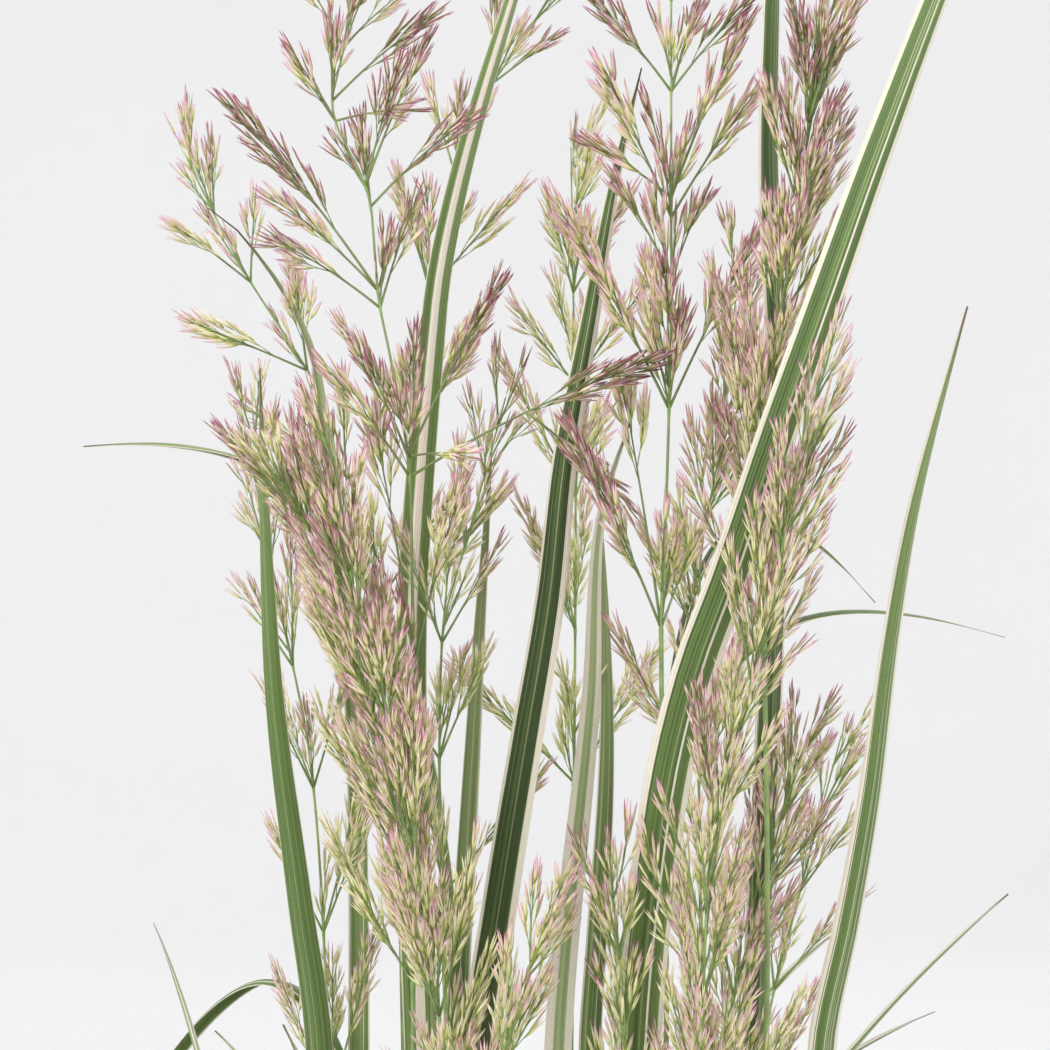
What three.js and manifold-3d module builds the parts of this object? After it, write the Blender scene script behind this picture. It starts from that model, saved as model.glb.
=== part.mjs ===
// A potted clump of variegated feather reed grass in flower.
//
// Millimetres, +Z up, +X to the right of a viewer who looks along +Y. The origin is the
// centre of the pot's flat foot, on the surface that it stands on.
//
// A plain clay pot holds soil. Flowering stems and leafy shoots stand in holes in the soil.
// A flowering stem is two pieces, as it looks on the plant: a sheathed stem with its leaf
// blades, and a plume, whose smooth stalk comes up out of the top sheath and carries whorls
// of thin branches set with pointed spikelets. Blades, branches and spikelets are each drawn
// out of one face of what they grow from, so every piece is one closed skin.

import * as THREE from "three";
import Module from "manifold-3d";

const { Vector3 } = THREE;
const wasm = await Module();
wasm.setup();

// ---------------------------------------------------------------- driving dimensions

const POT_HEIGHT = 190;
const POT_FOOT_RADIUS = 76;
const POT_RIM_RADIUS = 118;
const POT_WALL = 8;
const RIM_BAND = 36; // height of the thicker band under the lip
const RIM_STEP = 5; // how far the band stands out of the wall
const SOIL_LEVEL = 174; // height of the soil where the stems come out
const SOIL_DOME = 5; // how much lower the soil is at the pot's wall
const SEAT_GAP = 0.3; // clearance between pieces that touch
const ROOT_DEPTH = 35; // how deep each stem stands in its hole
const SHEATH_FOOT = 2.2; // radius of a stem at the soil
const SHEATH_TOP = 2.1; // and where the plume's stalk comes out of it
const STALK_RADIUS = 0.75; // of the plume's stalk
const STALK_SOCKET = 14; // how far the stalk stands in its sheath
const TWIG_RADIUS = 0.42; // of a plume's branch
const SPIKELET = 7.6; // reach of a spikelet beyond its foot
const SPIKELET_FOOT = 2.6; // length of branch that a bunch of spikelets stands on
const BUNCH_SPACING = 10.5; // from bunch to bunch along a branch
const BLADE_KEEL = 1.1; // depth of a leaf blade under its edges
const CLEARANCE = 0.8; // least air between two plants' pieces
const OWN_CLEARANCE = 1.6; // least distance between two branches or blades of one plant

// ---------------------------------------------------------------- small tools

const radians = THREE.MathUtils.degToRad;
const lerp = THREE.MathUtils.lerp;

// A repeatable number from 0 to 1 for a list of up to four whole numbers.
function chance(...keys) {
  const weights = [12.9898, 78.233, 37.719, 94.673];
  const mixed = keys.reduce((sum, key, i) => sum + key * weights[i], 0.5);
  const scaled = Math.sin(mixed) * 43758.5453;
  return scaled - Math.floor(scaled);
}

const between = (low, high, ...keys) => lerp(low, high, chance(...keys));

// A unit vector that stands `tilt` degrees off vertical, towards `heading` (0 is +X, 90 is +Y).
function aim(heading, tilt) {
  const [h, t] = [radians(heading), radians(tilt)];
  return new Vector3(Math.cos(h) * Math.sin(t), Math.sin(h) * Math.sin(t), Math.cos(t));
}

// The centre line of an upright stem through knots [z, x, y], vertical at its first knot.
class StemLine extends THREE.Curve {
  constructor(knots) {
    super();
    this.knots = knots;
    this.slopes = knots.map((knot, i) => {
      if (i === 0) return [0, 0];
      const [before, after] = [knots[i - 1], knots[Math.min(i + 1, knots.length - 1)]];
      return [1, 2].map((axis) => (after[axis] - before[axis]) / (after[0] - before[0]));
    });
  }

  at(z) {
    const { knots, slopes } = this;
    let i = 0;
    while (i < knots.length - 2 && z > knots[i + 1][0]) i++;
    const span = knots[i + 1][0] - knots[i][0];
    const t = (z - knots[i][0]) / span;
    const blend = [1, 2].map((axis) => {
      if (t <= 0) return knots[0][axis];
      const [p, q] = [knots[i][axis], knots[i + 1][axis]];
      const [m, n] = [slopes[i][axis - 1] * span, slopes[i + 1][axis - 1] * span];
      const [t2, t3] = [t * t, t * t * t];
      return (2 * t3 - 3 * t2 + 1) * p + (t3 - 2 * t2 + t) * m
        + (3 * t2 - 2 * t3) * q + (t3 - t2) * n;
    });
    return new Vector3(blend[0], blend[1], z);
  }

  heading(z) {
    return this.at(z + 0.5).sub(this.at(z - 0.5)).normalize();
  }

  getPoint(t) {
    return this.at(lerp(this.knots[0][0], this.knots[this.knots.length - 1][0], t));
  }
}

// A ring of points round a centre, counter-clockwise as seen from the side `along` points to.
// The first point lies towards `first`.
function ringAt(centre, along, radius, sides, first = new Vector3(1, 0, 0)) {
  const across = first.clone().addScaledVector(along, -first.dot(along)).normalize();
  const up = new Vector3().crossVectors(along, across);
  return Array.from({ length: sides }, (_, i) => {
    const angle = (i * 2 * Math.PI) / sides;
    return centre.clone()
      .addScaledVector(across, radius * Math.cos(angle))
      .addScaledVector(up, radius * Math.sin(angle));
  });
}

// A skin that starts as a tube and grows: a face is taken out and drawn into a branch.
class Skin {
  constructor() {
    this.points = [];
    this.faces = [];
  }

  addRing(points) {
    const first = this.points.length;
    this.points.push(...points);
    return points.map((_, i) => first + i);
  }

  // Joins two rings, and gives back the numbers of the new faces, two for each side.
  join(low, high) {
    return low.map((a, i) => {
      const next = (i + 1) % low.length;
      this.faces.push([a, low[next], high[next]], [a, high[next], high[i]]);
      return [this.faces.length - 2, this.faces.length - 1];
    });
  }

  cap(ring) {
    for (let i = 1; i < ring.length - 1; i++) this.faces.push([ring[0], ring[i], ring[i + 1]]);
  }

  close(ring, tip) {
    const [point] = this.addRing([tip]);
    ring.forEach((a, i) => this.faces.push([a, ring[(i + 1) % ring.length], point]));
  }

  // A tube through rings of points, with its foot closed: its rings, and its faces by segment.
  tube(rings) {
    const numbers = rings.map((ring) => this.addRing(ring));
    this.cap([...numbers[0]].reverse());
    const faces = numbers.slice(1).map((ring, i) => this.join(numbers[i], ring));
    return { top: numbers[numbers.length - 1], faces };
  }

  // The one of some faces that looks most in a direction, of those that nothing grows from.
  facing(faces, direction) {
    const look = (face) => this.look(face).normal.dot(direction);
    return faces.filter((face) => this.faces[face]).sort((a, b) => look(b) - look(a))[0];
  }

  // The middle of a face and its outward normal.
  look(face) {
    const [a, b, c] = this.faces[face].map((point) => this.points[point]);
    const middle = a.clone().add(b).add(c).divideScalar(3);
    const normal = b.clone().sub(a).cross(c.clone().sub(a)).normalize();
    return { middle, normal };
  }

  // Draws a face out through three-point rings to a tip. The rings start at the corner of
  // the face that each is nearest to, so that the branch isn't wrung.
  grow(face, rings, tip) {
    let low = this.faces[face];
    this.faces[face] = null;
    const made = [];
    const reach = (ring, shift) =>
      ring.reduce((sum, p, i) => sum + p.distanceTo(this.points[low[(i + shift) % 3]]), 0);
    const shift = [0, 1, 2].sort((i, j) => reach(rings[0], i) - reach(rings[0], j))[0];
    low = [0, 1, 2].map((i) => low[(i + shift) % 3]);
    for (const ring of rings) {
      const high = this.addRing(ring);
      made.push(this.join(low, high));
      low = high;
    }
    this.close(low, tip);
    return made;
  }

  // Raises one face to a point.
  spike(face, tip) {
    const ring = this.faces[face];
    this.faces[face] = null;
    this.close(ring, tip);
  }

  geometry() {
    const corners = this.faces.filter(Boolean).flat();
    const positions = new Float32Array(this.points.flatMap((p) => [p.x, p.y, p.z]));
    return new THREE.BufferGeometry()
      .setAttribute("position", new THREE.BufferAttribute(positions, 3))
      .setIndex(corners);
  }
}

// ---------------------------------------------------------------- room between the plants

// Every stem, blade and branch is noted as short thick lines. A new one that would touch
// another plant's is tried again, turned a little further round, until it is clear.
const taken = [];

// The least distance between lines a-b and c-d.
function gapBetween(a, b, c, d) {
  const [u, v, w] = [b.clone().sub(a), d.clone().sub(c), a.clone().sub(c)];
  const [uu, uv, vv, uw, vw] = [u.dot(u), u.dot(v), v.dot(v), u.dot(w), v.dot(w)];
  const det = uu * vv - uv * uv;
  const clamp = (x) => Math.min(1, Math.max(0, x));
  let s = det > 1e-9 ? clamp((uv * vw - vv * uw) / det) : 0;
  const t = clamp((uv * s + vw) / vv);
  s = clamp((uv * t - uw) / uu);
  return w.addScaledVector(u, s).addScaledVector(v, -t).length();
}

function isClear(owner, lines) {
  return lines.every(({ from, to, radius, root }) =>
    taken.every((other) => {
      const own = other.owner === owner;
      if (own && (root || other.root)) return true;
      const reach = own ? OWN_CLEARANCE : radius + other.radius + CLEARANCE;
      for (const axis of ["x", "y", "z"]) {
        if (Math.min(from[axis], to[axis]) - reach > Math.max(other.from[axis], other.to[axis])
          || Math.max(from[axis], to[axis]) + reach < Math.min(other.from[axis], other.to[axis]))
          return true;
      }
      return gapBetween(from, to, other.from, other.to) > reach;
    }));
}

const take = (owner, lines) => taken.push(...lines.map((line) => ({ ...line, owner })));

// The lines through some points. The one that springs from its own plant is its root.
const linesAlong = (points, radiusAt) =>
  points.slice(1).map((to, i) => ({ from: points[i], to, radius: radiusAt(i), root: i === 0 }));

const stemLines = (points, radiusAt) =>
  linesAlong(points, radiusAt).map((line) => ({ ...line, root: true }));

// ---------------------------------------------------------------- leaf blades

// A blade's rings: two edges and a keel. `flat` is the heading of its width, at foot and tip,
// and `steps` the number of rings, which stand closer together at its foot.
function bladeRings({ curve, width, flat, steps }) {
  return Array.from({ length: steps }, (_, i) => {
    const t = Math.pow((i + 0.35) / (steps + 0.2), 1.15);
    const along = curve.getTangent(t);
    const heading = radians(lerp(flat[0], flat[1], t));
    const across = new Vector3(Math.cos(heading), Math.sin(heading), 0);
    across.addScaledVector(along, -across.dot(along)).normalize();
    const under = new Vector3().crossVectors(along, across).negate();
    const half = (width * bladeShare(t)) / 2;
    const keel = Math.min(BLADE_KEEL, 0.2 + half * 0.4);
    const at = curve.getPoint(t);
    return [
      at.clone().addScaledVector(across, -half),
      at.clone().addScaledVector(under, keel),
      at.clone().addScaledVector(across, half),
    ];
  });
}

// A blade's width at t, as a share of its widest: narrow foot, long even body, drawn-out tip.
function bladeShare(t) {
  return Math.min(1, 0.42 + 2.4 * t) * Math.pow(1 - Math.pow(t, 5), 0.9);
}

// The lines that stand for a blade where the plants keep clear of each other.
function bladeLines(blade) {
  const rings = bladeRings(blade);
  const tip = blade.curve.getPoint(1);
  return [0.18, 0.5, 0.82].flatMap((share) => {
    const points = rings.map(([left, , right]) => left.clone().lerp(right, share));
    return linesAlong([...points, tip], () => 0.16 * blade.width);
  });
}

// The point on a stem's skin where a blade leaves it, on the side that faces `heading`.
function bladeFoot(line, collar, heading) {
  return line.at(collar - COLLAR / 2).addScaledVector(aim(heading, 90), SHEATH_FOOT + 0.8);
}

// A blade that springs from `foot` towards `heading` and arches over.
function archedBlade(foot, heading, length, arch) {
  const first = foot.clone().addScaledVector(aim(heading, arch[0]), length * 0.34);
  const second = first.clone().addScaledVector(aim(heading, arch[1]), length * 0.33);
  const tip = second.clone().addScaledVector(aim(heading, arch[2]), length * 0.33);
  return new THREE.CubicBezierCurve3(foot, first, second, tip);
}

// ---------------------------------------------------------------- stems and shoots

const SHEATH_SIDES = 5;
const COLLAR = 7; // height of the band that a blade grows from

// Rings up a stem, with a short band at each blade's collar.
function sheathHeights(low, high, collars) {
  const heights = [low, SOIL_LEVEL, (SOIL_LEVEL + collars[0]) / 2, high];
  for (const collar of collars) heights.push(collar - COLLAR, collar);
  return [...new Set(heights)].sort((a, b) => a - b);
}

// The sheathed stem of a shoot, with its blades. `socket` opens its top for a plume's stalk.
function leafyStem({ line, top, blades, socket }) {
  const low = SOIL_LEVEL - ROOT_DEPTH;
  const collars = blades.map((blade) => blade.collar).sort((a, b) => a - b);
  const heights = sheathHeights(low, top, collars);
  const radiusAt = (z) => lerp(SHEATH_FOOT, SHEATH_TOP, (z - low) / (top - low));
  const skin = new Skin();
  const rings = heights.map((z) => ringAt(line.at(z), line.heading(z), radiusAt(z), SHEATH_SIDES));
  const tube = skin.tube(rings);
  if (socket) {
    const bore = (STALK_RADIUS + SEAT_GAP) / Math.cos(Math.PI / SHEATH_SIDES);
    const [mouth, floor] = [top, top - STALK_SOCKET].map((z) =>
      skin.addRing(ringAt(line.at(z), line.heading(z), bore, SHEATH_SIDES)));
    skin.join(tube.top, mouth);
    skin.join(mouth, floor);
    skin.cap(floor);
  } else {
    skin.close(tube.top, line.at(top).addScaledVector(line.heading(top), 3));
  }
  for (const blade of blades) {
    const band = tube.faces[heights.indexOf(blade.collar) - 1].flat();
    const face = skin.facing(band, aim(blade.flat[0] - 90, 90));
    skin.grow(face, bladeRings(blade), blade.curve.getPoint(1));
  }
  return skin;
}

// Blades by rule: `count` of them up a shoot, each turned on from the last.
function ruledBlades(key, line, { count, lowest, highest, heading, length, arch, width }) {
  const blades = [];
  for (let i = 0; i < count; i++) {
    const collar = lerp(lowest, highest, count === 1 ? 0 : i / (count - 1));
    const long = length * between(0.8, 1.12, key, i, 2);
    const bend = arch.map((tilt, j) => tilt * between(0.85, 1.2, key, i, 3 + j));
    for (let attempt = 0; attempt < 16; attempt++) {
      const turn = (attempt % 2 ? 1 : -1) * Math.ceil(attempt / 2) * 17;
      const towards = heading + i * 150 + between(-22, 22, key, i, 1) + turn;
      const blade = {
        collar,
        curve: archedBlade(bladeFoot(line, collar, towards), towards, long, bend),
        width: width * between(0.85, 1.1, key, i, 8),
        flat: [towards + 90, towards + 90 + between(-50, 50, key, i, 7)],
        steps: 6,
      };
      const lines = bladeLines(blade);
      if (!isClear(key, lines)) continue;
      take(key, lines);
      blades.push(blade);
      break;
    }
  }
  return blades;
}

// A blade placed by hand. It leaves its shoot's collar on the side that faces `side` and runs through
// the knots of `path`, or is pulled over by the two points of `arc` to its tip.
function placedBlade(key, line, collar, { side, path, arc, width, turn }) {
  const foot = bladeFoot(line, collar, side);
  const curve = path
    ? new StemLine([[foot.z, foot.x, foot.y], ...path])
    : new THREE.CubicBezierCurve3(foot, ...arc.map((p) => new Vector3(...p)));
  const blade = { collar, curve, width, flat: [side + 90, side + 90 + turn], steps: 9 };
  take(key, bladeLines(blade));
  return blade;
}

// ---------------------------------------------------------------- plumes

const WHORL = 1.5; // height of the knot that a whorl grows from
const STALK_SIDES = 3;
const WHORL_TURN = 47; // each whorl is turned on from the last by this much
const BOW = 0.07; // how far a placed branch bows up, as a share of its length

// Heights of a plume's whorls: far apart at its foot, close together towards its tip.
function whorlHeights({ foot, tip, whorls, heights }) {
  return heights ?? Array.from({ length: whorls }, (_, i) =>
    lerp(foot, tip, 1 - Math.pow(1 - i / (whorls + 0.4), 1.9)));
}

// A branch by rule leaves the stalk at `spread` degrees and swings to `end` degrees.
function ruledBranch(foot, axis, heading, length, spread, end) {
  const out = aim(heading, 90);
  out.addScaledVector(axis, -out.dot(axis)).normalize();
  const at = (angle, reach) => foot.clone()
    .addScaledVector(axis, Math.cos(radians(angle)) * reach)
    .addScaledVector(out, Math.sin(radians(angle)) * reach);
  return new THREE.QuadraticBezierCurve3(foot, at(spread, length * 0.5), at(end, length));
}

// The lines that stand for a branch with its spikelets.
function branchLines(curve) {
  const points = curve.getPoints(4);
  points.push(curve.getPoint(1).addScaledVector(curve.getTangent(1), SPIKELET));
  return linesAlong(points, (step) => (step ? 2.6 : 0.8));
}

// A plume's branches by rule, each clear of the other plants.
function ruledBranches(key, line, plume) {
  const branches = [];
  whorlHeights(plume).forEach((z, whorl) => {
    const share = whorl / plume.whorls;
    const count = share < 0.5 ? 3 : share < 0.8 ? 2 : 1;
    for (let i = 0; i < count; i++) {
      const long = plume.reach * (1 - 0.72 * share) * between(0.72, 1.1, key, whorl, i, 1);
      const spread = plume.spread * (1.15 - 0.45 * share) * between(0.8, 1.2, key, whorl, i, 3);
      const towards = plume.turn + whorl * WHORL_TURN + i * 120 + between(-16, 16, key, whorl, i, 2);
      for (let attempt = 0; attempt < 15; attempt++) {
        const step = attempt % 5;
        const heading = towards + (step % 2 ? 1 : -1) * Math.ceil(step / 2) * 13;
        const length = long * [1, 0.75, 0.55][Math.floor(attempt / 5)];
        const axis = line.heading(z);
        const curve = ruledBranch(line.at(z), axis, heading, length, spread, spread * plume.lift);
        const lines = branchLines(curve);
        if (!isClear(key, lines)) continue;
        take(key, lines);
        branches.push({ whorl, curve, bare: 0.3 });
        break;
      }
    }
  });
  return branches;
}

// A plume's branches placed by hand: whorl, way to the end from the whorl, and the share that
// is bare. One may fork at the end of its bare part.
function placedBranches(key, line, plume) {
  return plume.branches.flatMap(([whorl, way, bare = 0.3, fork]) => {
    const foot = line.at(whorlHeights(plume)[whorl]);
    const bowed = (from, to) => {
      const middle = from.clone().lerp(to, 0.5).setZ((from.z + to.z) / 2 + BOW * from.distanceTo(to));
      return new THREE.QuadraticBezierCurve3(from, middle, to);
    };
    const branch = { whorl, curve: bowed(foot, foot.clone().add(new Vector3(...way))), bare };
    take(key, branchLines(branch.curve));
    if (fork) {
      const from = branch.curve.getPoint(bare);
      branch.fork = { curve: bowed(from, foot.clone().add(new Vector3(...fork))), bare: 0.15 };
      take(key, branchLines(branch.fork.curve));
    }
    return branch;
  });
}

// Draws a branch out of one of `band`'s faces, with its bunches of spikelets and its fork.
function growBranch(skin, band, axis, { curve, bare, fork }, key) {
  const length = curve.getLength();
  const bunches = Math.max(1, Math.round((length * (1 - bare)) / BUNCH_SPACING));
  const stations = [];
  if (fork) stations.push(bare - 0.04, bare + 0.01);
  for (let i = 0; i < bunches; i++) {
    const t = lerp(bare, 1, (i + 0.35) / bunches);
    stations.push(t, t + SPIKELET_FOOT / length);
  }
  const down = axis.clone().negate();
  const rings = stations.map((t) =>
    ringAt(curve.getPoint(t), curve.getTangent(t), TWIG_RADIUS * lerp(1.05, 0.75, t), 3, down));
  const end = curve.getPoint(1).addScaledVector(curve.getTangent(1), SPIKELET);
  const start = curve.getTangent(0.1);
  const outward = start.clone().addScaledVector(axis, -start.dot(axis)).normalize();
  const grown = skin.grow(skin.facing(band, outward), rings, end);
  const isBunch = (segment) => segment > 0 && (segment - (fork ? 2 : 0)) % 2 === 1;
  grown.forEach((sides, segment) => {
    if (isBunch(segment)) bunch(skin, sides, curve.getTangent(stations[segment]), key + segment);
  });
  if (fork) growBranch(skin, grown[1].flat(), curve.getTangent(bare), fork, key + 20);
}

// A bunch of spikelets: every face of the two outer sides of a band is raised to a point. The
// lower face of a side leans out further, so that its spikelet passes clear of the upper one.
function bunch(skin, sides, along, key) {
  [sides[0], sides[2]].forEach((faces, side) => {
    const byHeight = faces
      .map((face) => ({ face, ...skin.look(face) }))
      .sort((a, b) => a.middle.dot(along) - b.middle.dot(along));
    byHeight.forEach(({ face, middle, normal }, upper) => {
      const reach = SPIKELET * between(0.85, 1.1, key, side, upper);
      const lean = upper ? between(0.9, 1.6, key, side, 2) : between(2.4, 3.4, key, side, 3);
      skin.spike(face, middle.addScaledVector(along, reach).addScaledVector(normal, lean));
    });
  });
}

// The plume: stalk, whorls, branches and spikelets in one skin.
function plumeSkin(key, line, plume, stalkFoot, branches) {
  const skin = new Skin();
  const heights = whorlHeights(plume);
  const stations = [stalkFoot, lerp(stalkFoot, plume.foot, 0.5)];
  for (const z of heights) stations.push(z - WHORL, z);
  const rings = stations.map((z, i) => {
    const share = Math.max(0, (z - plume.foot) / (plume.tip - plume.foot));
    const whorl = Math.max(0, Math.floor((i - 2) / 2));
    const first = aim(plume.turn + whorl * WHORL_TURN + 60, 90);
    return ringAt(line.at(z), line.heading(z), STALK_RADIUS * lerp(1, 0.5, share), STALK_SIDES, first);
  });
  const tube = skin.tube(rings);
  skin.close(tube.top, line.at(plume.tip));
  branches.forEach((branch, i) => {
    const band = tube.faces[2 + branch.whorl * 2].flat();
    growBranch(skin, band, line.heading(heights[branch.whorl]), branch, key * 1000 + i * 40);
  });
  return skin;
}

// ---------------------------------------------------------------- the clump

// Flowering stems. `knots` are points [z, x, y] of the centre line above the soil; `plume`
// gives the heights of its lowest whorl and tip, its longest branch, how far the branches
// stand off the stalk in degrees, and the share of that angle left at their ends.
const FLOWERING = [
  {
    foot: [-15, -3],
    knots: [[480, -22, -5], [676, -26, -6], [733, -28, -6], [757, -30, -6], [792, -31, -6],
      [810, -34, -6], [825, -37, -6], [845, -39, -6], [862, -46, -6], [874, -44, -6], [896, -41, -6]],
    plume: {
      foot: 753, tip: 898, turn: 180,
      heights: [753.5, 789.5, 793.5, 823, 826.5, 843, 847, 860, 864, 874.5, 885],
      branches: [
        [0, [-8, 4, 45], 0.6], [0, [9, -6, 33]],
        [1, [46, -2, 22], 0.5, [42, 6, -4]], [1, [-15, -6, 20]], [1, [1, 8, 27]],
        [2, [17, 8, 33]], [2, [11, -12, 0]], [2, [-9, 5, 20]],
        [3, [-19, -8, 12]], [3, [6, 7, 20]],
        [4, [-27, -7, 34]], [4, [-20, 8, 18]],
        [5, [18, -3, 16]], [5, [-2, 7, 16]],
        [6, [6, -7, 20]], [6, [11, 6, 28]],
        [7, [13, -1, 2]], [7, [-7, -3, 11]],
        [8, [18, 3, 16]], [8, [0, -5, 12]],
        [9, [-6, 3, 11]], [9, [9, -4, 8]], [9, [4, 5, 12]],
        [10, [-5, -3, 9]], [10, [6, 2, 9]],
      ],
    },
  },
  {
    foot: [9, -2],
    knots: [[480, 16, -4], [676, 20, -5], [760, 19, -5], [784, 20, -5], [822, 21, -5], [842, 21, -5],
      [908, 21, -5]],
    plume: {
      foot: 759, tip: 912, turn: 20,
      heights: [759.5, 803, 807, 829, 841, 845, 866, 884, 896],
      branches: [
        [0, [-17, -5, 37], 0.2], [0, [-7, 6, 46], 0.6], [0, [7, 4, 17]],
        [1, [-21, -4, 38], 0.2], [1, [17, 5, 33]],
        [2, [-4, 8, 24]], [2, [-1, -8, 21]],
        [3, [-10, -5, 17]], [3, [6, 6, 15]],
        [4, [-13, -5, 27]], [4, [16, 4, 24]],
        [5, [-14, 5, 10]], [5, [13, -4, 31]],
        [6, [-14, -3, 16]], [6, [5, 7, 16]], [6, [13, -2, 15]],
        [7, [-9, 4, 13]], [7, [9, 3, 12]], [7, [1, -6, 13]],
        [8, [-6, -3, 10]], [8, [6, 3, 10]],
      ],
    },
  },
  {
    foot: [-14, -14],
    knots: [[480, -20, -22], [679, -24, -24], [721, -30, -24], [746, -35, -24], [773, -42, -24],
      [797, -45, -24]],
    plume: { foot: 650, tip: 797, whorls: 7, reach: 36, spread: 20, lift: 0.9, turn: 200 },
  },
  {
    foot: [-23, -8],
    knots: [[480, -30, -9], [677, -30, -10], [706, -31, -10], [742, -38, -10], [765, -45, -10],
      [780, -51, -10], [793, -58, -10]],
    plume: { foot: 690, tip: 793, whorls: 6, reach: 30, spread: 26, lift: 0.9, turn: 160 },
  },
  {
    foot: [24, -14],
    knots: [[480, 31, -24], [680, 38, -28], [804, 38, -28], [832, 43, -28], [874, 48, -28]],
    plume: { foot: 762, tip: 874, whorls: 6, reach: 34, spread: 24, lift: 0.9, turn: 40 },
  },
  {
    foot: [14, -20],
    knots: [[480, 22, -36], [682, 24.9, -44], [723, 26.7, -46], [747, 32.6, -48], [780, 40.5, -48],
      [808, 46.4, -48]],
    plume: { foot: 656, tip: 808, whorls: 7, reach: 38, spread: 24, lift: 0.9, turn: 10 },
  },
  {
    foot: [19, -5],
    knots: [[480, 27, -12], [677, 31, -14], [707, 38, -14], [738, 46, -14]],
    plume: { foot: 636, tip: 738, whorls: 6, reach: 30, spread: 26, lift: 0.95, turn: 70 },
  },
  {
    foot: [-12, 26],
    knots: [[480, -20, 42], [666, -29, 50], [753, -39, 50], [803, -50, 50], [837, -70, 50],
      [863, -83, 50]],
    plume: { foot: 762, tip: 863, whorls: 6, reach: 32, spread: 34, lift: 1.05, turn: 90 },
  },
  {
    foot: [-27, 14],
    knots: [[480, -38, 24], [670, -49, 28], [731, -53, 28], [780, -63, 28], [804, -65, 28]],
    plume: { foot: 660, tip: 804, whorls: 7, reach: 34, spread: 24, lift: 0.95, turn: 150 },
  },
  {
    foot: [-8, 8],
    knots: [[480, -16, 12], [673, -24, 14], [756, -25, 14], [780, -19, 14], [806, -12, 14]],
    plume: { foot: 704, tip: 806, whorls: 6, reach: 32, spread: 30, lift: 1.0, turn: 0 },
  },
  {
    foot: [27, 13],
    knots: [[480, 36, 22], [670, 42, 26], [702, 49, 26], [736, 58, 26]],
    plume: { foot: 628, tip: 736, whorls: 6, reach: 30, spread: 28, lift: 1.0, turn: 110 },
  },
  {
    foot: [5, -27],
    knots: [[480, 10, -34], [681, 11, -34], [716, 8, -34]],
    plume: { foot: 600, tip: 716, whorls: 6, reach: 28, spread: 22, lift: 0.9, turn: 30 },
  },
  {
    foot: [-3, -19],
    knots: [[480, -9, -34], [620, -14, -38], [680, -12, -38], [712, -2, -38]],
    plume: { foot: 600, tip: 712, whorls: 6, reach: 28, spread: 24, lift: 0.95, turn: 100 },
  },
  {
    foot: [1, 27],
    knots: [[480, 0, 46], [666, 2, 52], [785, 3, 52], [862, 2, 52]],
    plume: { foot: 724, tip: 862, whorls: 7, reach: 38, spread: 34, lift: 1.05, turn: 60 },
  },
  {
    foot: [16, 8],
    knots: [[480, 24, 14], [672, 28, 16], [773, 28, 16], [795, 32, 16], [834, 36, 16]],
    plume: { foot: 694, tip: 834, whorls: 7, reach: 34, spread: 28, lift: 1.0, turn: 140 },
  },
  {
    foot: [-19, 21],
    knots: [[480, -28, 34], [743, -35, 40], [817, -30, 40], [864, -20, 40], [895, -1, 40]],
    plume: { foot: 762, tip: 895, whorls: 6, reach: 34, spread: 32, lift: 1.05, turn: 20 },
  },
];

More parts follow.
